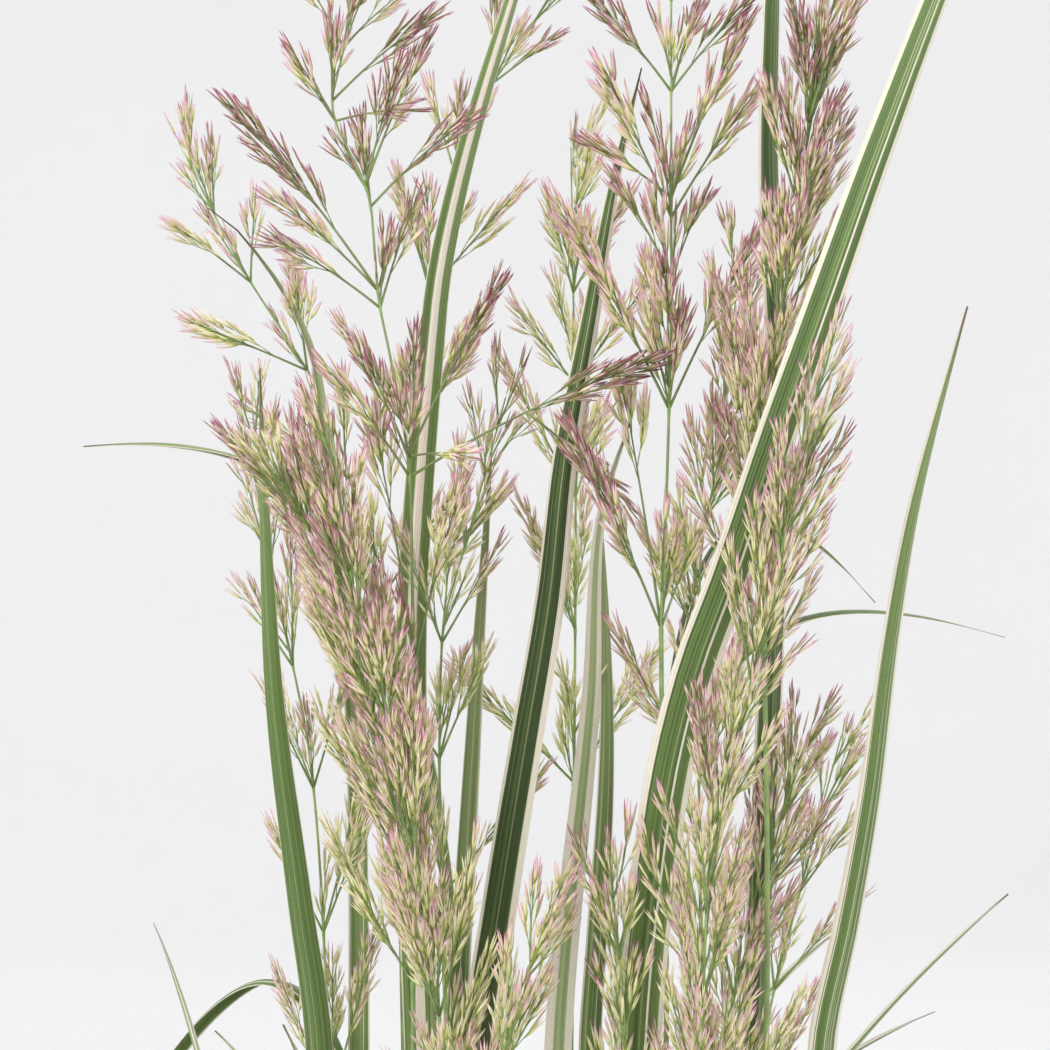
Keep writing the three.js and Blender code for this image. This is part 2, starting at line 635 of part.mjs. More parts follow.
// Leafy shoots. `placed` are blades set by hand, the others go by rule.
const SHOOTS = [
  {
    foot: [-24, 5], top: [430, -29, 8],
    placed: [{
      side: -86, width: 7.8, turn: -10,
      path: [[540, -28, 4], [674, -17.5, 4], [704, -13, 4], [735, -8, 4], [765, -3, 4], [793, 0, 4],
        [821, 5, 4], [849, 10, 4], [872, 15.5, 4]],
    }],
    rule: { count: 2, lowest: 250, highest: 330, heading: 200 },
  },
  {
    foot: [8, -10], top: [400, 12, -14],
    placed: [{
      side: -92, width: 9.6, turn: 14,
      path: [[560, 12, -17], [679, 13.7, -22], [727, 18.3, -30], [751, 23.4, -35], [771, 30.5, -37],
        [794, 38.1, -38], [816, 45.8, -38], [847, 56.8, -38], [886, 71.7, -38], [920, 86, -38],
        [946, 100, -38]],
    }],
    rule: { count: 2, lowest: 240, highest: 320, heading: 265 },
  },
  {
    foot: [29, -4], top: [470, 35, -5],
    placed: [{
      side: -50, width: 7.6, turn: 0,
      path: [[600, 37, -6], [677, 37.5, -4], [740, 40, -6], [805, 42, -9], [850, 40, -9], [883, 40.5, -9],
        [958, 43, -9]],
    }],
    rule: { count: 2, lowest: 260, highest: 350, heading: 330 },
  },
  {
    foot: [-33, 3], top: [400, -40, 7],
    placed: [{
      side: -80, width: 6.6, turn: -30,
      path: [[540, -44, 8], [673, -50, 12], [704, -54, 12], [744, -59, 12], [779, -61, 12], [812, -62, 12]],
    }],
    rule: { count: 2, lowest: 230, highest: 310, heading: 175 },
  },
  {
    foot: [-1, 17], top: [420, -3, 28],
    placed: [{
      side: -90, width: 6.6, turn: 0,
      path: [[540, -3, 30], [668, -1, 38], [743, 6, 38], [781, 8, 38], [804, 15, 38]],
    }],
    rule: { count: 2, lowest: 250, highest: 330, heading: 85 },
  },
  {
    foot: [-10, 17], top: [430, -18, 25],
    placed: [{
      side: -90, width: 7.4, turn: 8,
      path: [[560, -24, 27], [743, -32, 30], [825, -27, 30], [852, -22, 30], [890, -11, 30], [932, 3, 30]],
    }],
    rule: { count: 2, lowest: 260, highest: 340, heading: 110 },
  },
  {
    foot: [31, -20], top: [380, 37, -25],
    placed: [{
      side: -80, width: 7.4, turn: 20,
      path: [[540, 42, -26], [679, 49, -24], [704, 54, -24], [727, 58, -24], [758, 62, -24], [785, 67, -24],
        [822, 77, -24]],
    }],
    rule: { count: 2, lowest: 230, highest: 300, heading: 320 },
  },
  {
    foot: [24, 22], top: [390, 30, 34],
    placed: [{ side: 150, width: 5, turn: 30, arc: [[17, 44, 692], [8, 50, 833], [68, 52, 763]] }],
    rule: { count: 2, lowest: 230, highest: 310, heading: 50 },
  },
  {
    foot: [12, 19], top: [370, 17, 32],
    placed: [{ side: 100, width: 5.6, turn: 80, arc: [[16, 40, 728], [5, 42, 780], [94, 38, 756]] }],
    rule: { count: 2, lowest: 220, highest: 300, heading: 70 },
  },
  {
    foot: [-31, 25], top: [390, -44, 36],
    placed: [{
      side: 90, width: 5, turn: 10,
      path: [[600, -44, 42], [720, -44, 44], [780, -48, 44], [806, -51.6, 44], [816, -53.3, 44], [828, -58.5, 44],
        [843, -69.6, 44], [848, -76, 44]],
    }, {
      side: 0, width: 5.6, turn: -60, arc: [[-24, 40, 590], [-35, 42, 822], [-125, 40, 575]],
    }],
    rule: { count: 2, lowest: 230, highest: 310, heading: 140 },
  },
  {
    foot: [-30, -20], top: [350, -38, -28],
    placed: [{ side: 200, width: 4.4, turn: -30, arc: [[-44, -30, 480], [-50, -33, 640], [-78, -34, 705]] }],
    rule: { count: 3, lowest: 210, highest: 300, heading: 215 },
  },
  {
    foot: [-12, -30], top: [320, -15, -41], placed: [],
    rule: { count: 4, lowest: 205, highest: 320, heading: 245 },
  },
  {
    foot: [20, -33], top: [330, 26, -46], placed: [],
    rule: { count: 4, lowest: 205, highest: 330, heading: 300 },
  },
  {
    foot: [36, 4], top: [340, 46, 8], placed: [],
    rule: { count: 4, lowest: 205, highest: 340, heading: 5 },
  },
  {
    foot: [8, 36], top: [330, 12, 52],
    placed: [{
      side: -90, width: 6.2, turn: 0,
      path: [[540, 5, 52], [666, 6.1, 52], [688, 7.4, 52], [725, 9.6, 52], [753, 9.6, 52], [790, 8, 52]],
    }],
    rule: { count: 3, lowest: 205, highest: 330, heading: 80 },
  },
  {
    foot: [-20, 33], top: [340, -28, 50],
    placed: [{
      side: 140, width: 6.2, turn: -40,
      path: [[540, -28, 54], [620, -26, 54], [677, -22.5, 52], [720, -20, 50], [760, -17.7, 50], [800, -15, 50]],
    }, {
      side: 20, width: 5, turn: 20, arc: [[-13, 54, 730], [-16, 54, 804], [-104, 52, 797]],
    }],
    rule: { count: 3, lowest: 205, highest: 340, heading: 125 },
  },
];

// Blades that go by rule. Culm blades are short and stand up, shoot blades are long and arch.
const CULM_BLADE = { count: 2, length: 210, arch: [14, 30, 62], width: 6.2 };
const SHOOT_BLADE = { length: 330, arch: [13, 38, 88], width: 7.2 };
const HIGHEST_SHEATH = 530; // where the sheath of a tall stem ends

const lineOf = (foot, knots) => new StemLine([[SOIL_LEVEL, ...foot], ...knots]);
const FIRST_SHOOT = FLOWERING.length;

// What is placed by hand is noted before any blade or branch is tried by rule.
const culms = FLOWERING.map(({ foot, knots, plume }, key) => {
  const line = lineOf(foot, knots);
  const sheath = Math.min(plume.foot - 110, HIGHEST_SHEATH);
  const points = Array.from({ length: 25 }, (_, i) => line.at(lerp(SOIL_LEVEL, plume.tip, i / 24)));
  take(key, stemLines(points, (i) => (points[i].z < sheath ? SHEATH_FOOT : STALK_RADIUS)));
  return { key, line, plume, sheath };
});
const shoots = SHOOTS.map(({ foot, top, placed, rule }, i) => {
  const key = FIRST_SHOOT + i;
  const line = lineOf(foot, [top]);
  const points = Array.from({ length: 7 }, (_, j) => line.at(lerp(SOIL_LEVEL, top[0] + 3, j / 6)));
  take(key, stemLines(points, () => SHEATH_FOOT));
  return { key, line, top: top[0], rule, blades: placed.map((blade) => placedBlade(key, line, top[0], blade)) };
});
for (const culm of culms)
  if (culm.plume.branches) culm.branches = placedBranches(culm.key, culm.line, culm.plume);

const shootSkins = shoots.map(({ key, line, top, blades, rule }) => {
  blades.unshift(...ruledBlades(key, line, { ...SHOOT_BLADE, ...rule }));
  return leafyStem({ line, top, blades });
});
const culmSkins = culms.map(({ key, line, sheath }) => {
  const rule = { lowest: sheath - 170, highest: sheath - 8, heading: key * 137 };
  const blades = ruledBlades(key, line, { ...CULM_BLADE, ...rule });
  return leafyStem({ line, top: sheath, blades, socket: true });
});
const plumeSkins = culms.map(({ key, line, plume, sheath, branches }) => {
  const stalkFoot = sheath - STALK_SOCKET + SEAT_GAP;
  return plumeSkin(key, line, plume, stalkFoot, branches ?? ruledBranches(key, line, plume));
});

// ---------------------------------------------------------------- pot and soil

function wallRadius(z) {
  return lerp(POT_FOOT_RADIUS, POT_RIM_RADIUS - RIM_STEP, z / POT_HEIGHT);
}

function potGeometry() {
  const band = POT_HEIGHT - RIM_BAND;
  const inner = (z) => wallRadius(z) - POT_WALL;
  const profile = [
    [0, 0],
    [POT_FOOT_RADIUS - 2, 0],
    [wallRadius(3), 3],
    [wallRadius(band - 3), band - 3],
    [wallRadius(band) + RIM_STEP - 1, band],
    [POT_RIM_RADIUS, POT_HEIGHT - 4],
    [POT_RIM_RADIUS - 3, POT_HEIGHT],
    [inner(POT_HEIGHT) + 3, POT_HEIGHT],
    [inner(POT_HEIGHT - 6), POT_HEIGHT - 6],
    [inner(POT_WALL), POT_WALL],
    [0, POT_WALL],
  ].map(([r, z]) => new THREE.Vector2(r, z));
  return new THREE.LatheGeometry(profile, 32).rotateX(Math.PI / 2);
}

// The soil's surface: a low dome with lumps.
function soilSurface(x, y) {
  const r = Math.hypot(x, y) / wallRadius(SOIL_LEVEL);
  const lumps = Math.sin(x * 0.19 + 1.3) * Math.cos(y * 0.23 - 0.4)
    + 0.6 * Math.sin((x + y) * 0.37) * Math.sin((x - y) * 0.29);
  return SOIL_LEVEL - SOIL_DOME * r * r + lumps * Math.min(1, 4 * (1 - r));
}

function soilGeometry() {
  const rim = (z) => wallRadius(z) - POT_WALL - SEAT_GAP * 2;
  const [low, edge] = [POT_WALL + SEAT_GAP, SOIL_LEVEL - SOIL_DOME];
  const profile = [[0, low], [rim(low), low], [rim(edge), edge]];
  for (const share of [0.78, 0.54, 0.27]) profile.push([rim(edge) * share, SOIL_LEVEL]);
  profile.push([0, SOIL_LEVEL]);
  const points = profile.map(([r, z]) => new THREE.Vector2(r, z));
  const geometry = new THREE.LatheGeometry(points, 22).rotateX(Math.PI / 2);
  const position = geometry.attributes.position;
  for (let i = 0; i < position.count; i++) {
    const [x, y] = [position.getX(i), position.getY(i)];
    if (position.getZ(i) > edge + 0.5) position.setZ(i, soilSurface(x, y));
  }
  return geometry;
}

// A closed geometry as a manifold-3d solid, its shared corners merged.
function solidOf(geometry) {
  const plain = new Map();
  const corners = [];
  const vertices = [];
  const position = geometry.attributes.position;
  const order = geometry.index ? Array.from(geometry.index.array) : [...Array(position.count).keys()];
  for (const i of order) {
    const point = [position.getX(i), position.getY(i), position.getZ(i)].map(Math.fround);
    const name = point.map((value) => Math.round(value * 1e4)).join();
    if (!plain.has(name)) {
      plain.set(name, vertices.length / 3);
      vertices.push(...point);
    }
    corners.push(plain.get(name));
  }
  const triangles = [];
  for (let i = 0; i < corners.length; i += 3) {
    const [a, b, c] = corners.slice(i, i + 3);
    if (a !== b && b !== c && c !== a) triangles.push(a, b, c);
  }
  const mesh = { numProp: 3, vertProperties: new Float32Array(vertices), triVerts: new Uint32Array(triangles) };
  return new wasm.Manifold(new wasm.Mesh(mesh));
}

function geometryOf(solid) {
  const { numProp, vertProperties, triVerts } = solid.getMesh();
  const positions = new Float32Array((vertProperties.length / numProp) * 3);
  for (let i = 0; i < positions.length / 3; i++)
    positions.set(vertProperties.subarray(i * numProp, i * numProp + 3), i * 3);
  return new THREE.BufferGeometry()
    .setAttribute("position", new THREE.BufferAttribute(positions, 3))
    .setIndex(new THREE.BufferAttribute(triVerts, 1));
}

// The soil with a plain hole for each stem.
function pottedSoil() {
  const depth = ROOT_DEPTH + SEAT_GAP;
  const above = 20;
  const bore = (SHEATH_FOOT + SEAT_GAP) / Math.cos(Math.PI / SHEATH_SIDES);
  const feet = [...FLOWERING, ...SHOOTS].map(({ foot }) => foot);
  return geometryOf(feet.reduce((soil, [x, y]) => {
    const hole = new THREE.CylinderGeometry(bore, bore, depth + above, SHEATH_SIDES).rotateX(Math.PI / 2);
    hole.translate(x, y, SOIL_LEVEL + (above - depth) / 2);
    return soil.subtract(solidOf(hole));
  }, solidOf(soilGeometry())));
}

// ---------------------------------------------------------------- the object

const clay = new THREE.MeshStandardMaterial({ color: 0xb5714d, roughness: 0.85, metalness: 0 });
const earth = new THREE.MeshStandardMaterial({ color: 0x3b2c22, roughness: 1, metalness: 0 });
const leaf = new THREE.MeshStandardMaterial({ color: 0x6f8f55, roughness: 0.5, metalness: 0 });
const bloom = new THREE.MeshStandardMaterial({ color: 0xa9867a, roughness: 0.6, metalness: 0 });

const group = new THREE.Group();

function addPiece(name, geometry, material) {
  const mesh = new THREE.Mesh(geometry, material);
  mesh.name = name;
  group.add(mesh);
}

const two = (number) => String(number).padStart(2, "0");

addPiece("pot", potGeometry(), clay);
addPiece("soil", pottedSoil(), earth);
shootSkins.forEach((skin, i) => addPiece(`shoot_${two(i + 1)}`, skin.geometry(), leaf));
culmSkins.forEach((skin, i) => addPiece(`stem_${two(i + 1)}`, skin.geometry(), leaf));
plumeSkins.forEach((skin, i) => addPiece(`plume_${two(i + 1)}`, skin.geometry(), bloom));

export default group;
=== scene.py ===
# %% [markdown]
# # Potted feather reed grass
#
# The object is one clump of variegated feather reed grass in flower, in a plain clay pot of
# soil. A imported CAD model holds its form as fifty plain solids. This lesson dresses each of
# them with a finer piece that keeps the form: thin striped blades in place of faceted ones,
# and hundreds of spikelets on hair-thin branchlets in place of a faceted plume.
#
# The clump is grown here once more by the same rule and the same values as the solids, so
# that each finer piece lies where its solid lies. Growth is worked out in millimetres and
# turned into Blender's metres when a mesh is made.

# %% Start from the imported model
import math

import bpy
import numpy as np
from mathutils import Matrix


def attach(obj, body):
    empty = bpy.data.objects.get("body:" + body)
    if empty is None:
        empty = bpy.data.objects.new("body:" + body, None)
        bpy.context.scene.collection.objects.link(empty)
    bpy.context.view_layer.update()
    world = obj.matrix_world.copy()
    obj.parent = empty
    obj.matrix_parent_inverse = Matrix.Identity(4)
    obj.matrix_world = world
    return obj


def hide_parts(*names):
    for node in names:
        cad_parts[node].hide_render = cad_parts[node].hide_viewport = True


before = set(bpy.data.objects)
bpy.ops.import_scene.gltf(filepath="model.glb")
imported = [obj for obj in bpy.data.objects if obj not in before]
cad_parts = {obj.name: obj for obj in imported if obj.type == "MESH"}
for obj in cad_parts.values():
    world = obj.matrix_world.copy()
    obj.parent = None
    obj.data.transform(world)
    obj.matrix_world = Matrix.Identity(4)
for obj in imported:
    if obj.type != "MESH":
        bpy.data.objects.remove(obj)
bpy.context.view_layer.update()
MM = 0.001

# %% [markdown]
# ## The camera
#
# The grass is seen level, from about arm's length, through a long lens that takes in the
# flowering tops alone: 210 mm of them across the picture.

# %% Place the camera
VIEW_AT = (-8, 0, 780)
VIEW_DISTANCE = 600
VIEW_WIDTH = 210
SENSOR = 36

bpy.ops.object.camera_add(
    location=(VIEW_AT[0] * MM, (VIEW_AT[1] - VIEW_DISTANCE) * MM, VIEW_AT[2] * MM),
    rotation=(math.pi / 2, 0, 0))
camera = bpy.context.object
camera.data.sensor_width = SENSOR
camera.data.lens = SENSOR * VIEW_DISTANCE / VIEW_WIDTH
camera.data.clip_start = 0.05
bpy.context.scene.camera = camera
print("the lens is", round(camera.data.lens), "mm long")

# %% [markdown]
# ## The rule of growth
#
# A real clump never repeats itself, yet a model has to come out the same every time. So each
# draw is a hash of the plant's number and of what is drawn: it looks random and never changes.
# Stems and blades follow smooth lines. A stem's line goes through knots that are listed by
# height, and a blade or a branch is a Bezier curve.

# %% Draws, directions and lines
def chance(*keys):
    mixed = 0.5
    for key, weight in zip(keys, (12.9898, 78.233, 37.719, 94.673)):
        mixed += key * weight
    scaled = math.sin(mixed) * 43758.5453
    return scaled - math.floor(scaled)


def lerp(low, high, share):
    return (1 - share) * low + share * high


def between(low, high, *keys):
    return lerp(low, high, chance(*keys))


def unit(vectors):
    return vectors / np.linalg.norm(vectors, axis=-1, keepdims=True)


def aim(heading, tilt):
    """A unit vector `tilt` degrees off vertical, towards `heading`: 0 is +X and 90 is +Y."""
    h, t = math.radians(heading), math.radians(tilt)
    return np.array([math.cos(h) * math.sin(t), math.sin(h) * math.sin(t), math.cos(t)])


def across_from(direction, axes):
    """`direction` made square to each of the axes, as unit vectors."""
    return unit(direction - axes * np.sum(axes * direction, axis=-1, keepdims=True))


def leaning(along, out, degrees):
    """A unit vector that leans from one direction towards another, square to it."""
    angle = math.radians(degrees)
    return along * math.cos(angle) + out * math.sin(angle)


class Line:
    """A smooth line from 0 to 1. A kind of line says how point() works."""

    def tangent(self, t):
        t = np.asarray(t, float)
        ahead, behind = np.minimum(t + 1e-4, 1), np.maximum(t - 1e-4, 0)
        return unit(self.point(ahead) - self.point(behind))

    def length(self):
        points = self.point(np.linspace(0, 1, 60))
        return np.linalg.norm(np.diff(points, axis=0), axis=1).sum()


class Bezier(Line):
    def __init__(self, *controls):
        self.controls = [np.array(c, float) for c in controls]

    def point(self, t):
        t = np.asarray(t, float)[..., None]
        points = self.controls
        while len(points) > 1:
            points = [(1 - t) * p + t * q for p, q in zip(points, points[1:])]
        return points[0]


class StemLine(Line):
    """Goes through knots (height, x, y), and is upright at its first one."""

    def __init__(self, knots):
        self.knots = np.array(knots, float)
        last = len(knots) - 1
        self.slopes = np.zeros((len(knots), 2))
        for i in range(1, len(knots)):
            before, after = self.knots[i - 1], self.knots[min(i + 1, last)]
            self.slopes[i] = (after[1:] - before[1:]) / (after[0] - before[0])

    def at(self, z):
        z = np.asarray(z, float)
        i = np.searchsorted(self.knots[1:-1, 0], z, side="left")
        span = self.knots[i + 1, 0] - self.knots[i, 0]
        t = ((z - self.knots[i, 0]) / span)[..., None]
        start, end = self.knots[i, 1:], self.knots[i + 1, 1:]
        leave, arrive = self.slopes[i] * span[..., None], self.slopes[i + 1] * span[..., None]
        place = ((2 * t**3 - 3 * t**2 + 1) * start + (t**3 - 2 * t**2 + t) * leave
                 + (3 * t**2 - 2 * t**3) * end + (t**3 - t**2) * arrive)
        place = np.where(t <= 0, self.knots[0, 1:], place)
        return np.concatenate([place, z[..., None]], axis=-1)

    def point(self, t):
        return self.at(lerp(self.knots[0, 0], self.knots[-1, 0], np.asarray(t, float)))

    def heading(self, z):
        z = np.asarray(z, float)
        return unit(self.at(z + 0.5) - self.at(z - 0.5))


# %% [markdown]
# Plants in a clump bend round each other. Here every stem, blade and branch is noted as short
# thick lines, and a new one that would touch another plant's is turned a little further round
# and tried again, until it is clear. Numpy measures one new line against all the others at
# once, which keeps the whole clump under a few seconds.

# %% Room between the plants
CLEARANCE = 0.8
OWN_CLEARANCE = 1.6


def lines_along(points, radii):
    """Rows of (from, to, radius, root). The line that springs from its own plant is its root."""
    points = np.asarray(points, float)
    root = np.zeros(len(points) - 1)
    root[0] = 1
    return np.column_stack([points[:-1], points[1:], np.broadcast_to(radii, root.shape), root])


def gaps_between(a, b, c, d):
    """The least distance from each line a-b to each line c-d."""
    u, v, w = b - a, d - c, a - c
    uu, uv, vv = (u * u).sum(-1), (u * v).sum(-1), (v * v).sum(-1)
    uw, vw = (u * w).sum(-1), (v * w).sum(-1)
    det = uu * vv - uv * uv
    flat = det <= 1e-9
    s = np.where(flat, 0, np.clip((uv * vw - vv * uw) / np.where(flat, 1, det), 0, 1))
    t = np.clip((uv * s + vw) / vv, 0, 1)
    s = np.clip((uv * t - uw) / uu, 0, 1)
    return np.linalg.norm(w + u * s[..., None] - v * t[..., None], axis=-1)


class Room:
    def __init__(self):
        self.taken = np.empty((0, 9))

    def take(self, owner, lines):
        """Notes the lines of a plant."""
        owned = np.column_stack([lines, np.full(len(lines), owner)])
        self.taken = np.vstack([self.taken, owned])

    def is_clear(self, owner, lines):
        """Whether new lines keep off all that is taken, but for where a plant joins itself."""
        new, old = lines[:, None], self.taken[None]
        own = old[..., 8] == owner
        reach = np.where(own, OWN_CLEARANCE, new[..., 6] + old[..., 6] + CLEARANCE)
        gaps = gaps_between(new[..., :3], new[..., 3:6], old[..., :3], old[..., 3:6])
        joined = own & ((new[..., 7] > 0) | (old[..., 7] > 0))
        return bool(np.all(joined | (gaps > reach)))

    def first_clear(self, owner, attempts, lines_for):
        """Takes room for the first attempt that is clear, and gives a list of one or none."""
        for attempt in attempts:
            lines = lines_for(attempt)
            if self.is_clear(owner, lines):
                self.take(owner, lines)
                return [attempt]
        return []


room = Room()

# %% [markdown]
# ## Blades and branches by rule
#
# A leaf blade is narrow at its foot, even for most of its length and drawn out to a tip. It
# leaves its sheath at a collar and arches over under its own weight.

# %% Leaf blades
SOIL_LEVEL = 174
ROOT_DEPTH = 35
SHEATH_FOOT = 2.2  # the radius of a sheathed stem at the soil, and then at its top
SHEATH_TOP = 2.1
COLLAR = 7
BLADE_KEEL = 1.1
BLADE_TURN = 150  # degrees from one blade on a stem to the next
CULM_BLADE = dict(length=210, arch=(14, 30, 62), width=6.2)
SHOOT_BLADE = dict(length=330, arch=(13, 38, 88), width=7.2)
ARCH_SHARES = (0.34, 0.33, 0.33)  # of a blade's length, each at its own tilt in `arch`
BLADE_TRIES, BLADE_STEP = 16, 17


def blade_share(t):
    """A blade's width at t, as a share of its widest."""
    return np.minimum(1, 0.42 + 2.4 * t) * np.power(1 - np.power(t, 5), 0.9)


def blade_axes(blade, t):
    """The directions along, across and under a blade at t."""
    along = blade["line"].tangent(t)
    heading = np.radians(lerp(blade["flat"][0], blade["flat"][1], t))
    level = np.stack([np.cos(heading), np.sin(heading), np.zeros_like(heading)], axis=-1)
    across = across_from(level, along)
    return along, across, -np.cross(along, across)


def blade_lines(blade):
    """The lines that stand for a blade where the plants keep clear of each other."""
    steps = blade["steps"]
    t = ((np.arange(steps) + 0.35) / (steps + 0.2)) ** 1.15
    _, across, _ = blade_axes(blade, t)
    half = (blade["width"] * blade_share(t) / 2)[:, None]
    middle, tip = blade["line"].point(t), blade["line"].point(1.0)
    rows = [np.vstack([middle + across * half * side, tip]) for side in (-0.64, 0, 0.64)]
    return np.vstack([lines_along(row, 0.16 * blade["width"]) for row in rows])


def blade_foot(stem, collar, heading):
    return stem.at(collar - COLLAR / 2) + aim(heading, 90) * (SHEATH_FOOT + 0.8)


def arched(foot, heading, length, arch):
    points = [foot]
    for tilt, share in zip(arch, ARCH_SHARES):
        points.append(points[-1] + aim(heading, tilt) * length * share)
    return Bezier(*points)


def further_round(attempt, step):
    """How far a line turns for each new attempt: left and right by turns, ever further."""
    return (1 if attempt % 2 else -1) * math.ceil(attempt / 2) * step


def ruled_blades(key, stem, count, lowest, highest, heading, length, arch, width):
    """Some blades of a stem, from its lowest collar to its highest."""

    def ruled_blade(i, attempt):
        collar = lerp(lowest, highest, i / (count - 1))
        long = length * between(0.8, 1.12, key, i, 2)
        bend = [tilt * between(0.85, 1.2, key, i, 3 + j) for j, tilt in enumerate(arch)]
        towards = heading + i * BLADE_TURN + between(-22, 22, key, i, 1)
        towards += further_round(attempt, BLADE_STEP)
        return dict(
            collar=collar, steps=6, key=(key, i),
            line=arched(blade_foot(stem, collar, towards), towards, long, bend),
            width=width * between(0.85, 1.1, key, i, 8),
            flat=(towards + 90, towards + 90 + between(-50, 50, key, i, 7)))

    blades = []
    for i in range(count):
        attempts = (ruled_blade(i, attempt) for attempt in range(BLADE_TRIES))
        blades += room.first_clear(key, attempts, blade_lines)
    return blades


def placed_blade(key, stem, collar, side, width, turn, look, path=None, arc=None):
    """A listed blade: through the knots of a path, or pulled over by an arc's points."""
    foot = blade_foot(stem, collar, side)
    line = StemLine([(foot[2], foot[0], foot[1]), *path]) if path else Bezier(foot, *arc)
    blade = dict(collar=collar, steps=9, key=(key, 9), line=line, width=width,
                 flat=(side + 90, side + 90 + turn), look=look)
    room.take(key, blade_lines(blade))
    return blade


# %% [markdown]
# The branches of a plume stand in whorls that come closer together towards its tip. Each one
# leaves the stalk at an angle and swings in or out along its way.

# %% Branches of a plume
SPIKELET = 7.6
WHORL_TURN = 47
BARE = 0.3  # the share of a branch that is bare, where its row doesn't say
BOW = 0.07
BRANCH_STEP = 13
SHORTER = (1, 0.75, 0.55)  # five tries at full length, then five at each shorter one


def whorl_heights(plume):
    if "heights" in plume:
        return plume["heights"]
    whorls = plume["whorls"]
    rise = [1 - (1 - i / (whorls + 0.4)) ** 1.9 for i in range(whorls)]
    return [lerp(plume["foot"], plume["tip"], share) for share in rise]


def branch_lines(line):
    points = line.point(np.linspace(0, 1, 5))
    end = points[-1] + line.tangent(1.0) * SPIKELET
    return lines_along(np.vstack([points, end]), np.array([0.8, 2.6, 2.6, 2.6, 2.6]))


def ruled_branches(key, stem, plume):
    branches = []
    for whorl, z in enumerate(whorl_heights(plume)):
        share = whorl / plume["whorls"]
        for i in range(3 if share < 0.5 else 2 if share < 0.8 else 1):
            long = plume["reach"] * (1 - 0.72 * share) * between(0.72, 1.1, key, whorl, i, 1)
            spread = plume["spread"] * (1.15 - 0.45 * share) * between(0.8, 1.2, key, whorl, i, 3)
            towards = plume["turn"] + whorl * WHORL_TURN + i * 120
            towards += between(-16, 16, key, whorl, i, 2)
            attempts = [
                swung(stem, z, towards + further_round(j, BRANCH_STEP), long * shorter, spread,
                      spread * plume["lift"])
                for shorter in SHORTER for j in range(5)]
            for line in room.first_clear(key, attempts, branch_lines):
                branches.append(dict(line=line, bare=BARE))
    return branches


def swung(stem, z, heading, length, spread, end):
    """A branch that leaves the stalk at `spread` degrees and swings to `end` degrees."""
    foot, axis = stem.at(z), stem.heading(z)
    out = across_from(aim(heading, 90), axis)
    middle = foot + leaning(axis, out, spread) * length * 0.5
    return Bezier(foot, middle, foot + leaning(axis, out, end) * length)


def bowed(start, end):
    """A branch that bows up a little between its ends."""
    middle = (start + end) / 2
    middle[2] += BOW * np.linalg.norm(end - start)
    return Bezier(start, middle, end)


def placed_branches(key, stem, plume):
    branches = []
    for whorl, way, *rest in plume["branches"]:
        foot = stem.at(whorl_heights(plume)[whorl])
        bare = rest[0] if rest else BARE
        line = bowed(foot, foot + np.array(way, float))
        branches.append(dict(line=line, bare=bare))
        room.take(key, branch_lines(line))
        if len(rest) > 1:
            fork = bowed(line.point(bare), foot + np.array(rest[1], float))
            branches.append(dict(line=fork, bare=BARE / 2))
            room.take(key, branch_lines(fork))
    return branches


# %% [markdown]
# ## The clump
#
# Sixteen flowering culms and sixteen leafy shoots. `foot` is where a plant stands in the soil,
# and `knots` are heights and places that its line goes through. `plume` gives the heights of
# the flower head's lowest whorl and tip, its longest branch, how far its branches stand off,
# and which way round its whorls begin. The two foremost plumes have their branches set one by
# one: the whorl, the way to the branch's end, the share of it that is bare, and a fork's end.
# `blush` is how purple the head has ripened, from 0, green, to 1. `short` is how many short
# branches a whorl has besides its long ones, and `size` is how large the spikelets are.

# %% Flowering culms
def ruled(foot, tip, whorls, reach, spread, lift, turn):
    """A plume whose branches follow the rule. `lift` is how much they rise or droop outwards."""
    return dict(foot=foot, tip=tip, whorls=whorls, reach=reach, spread=spread, lift=lift, turn=turn)


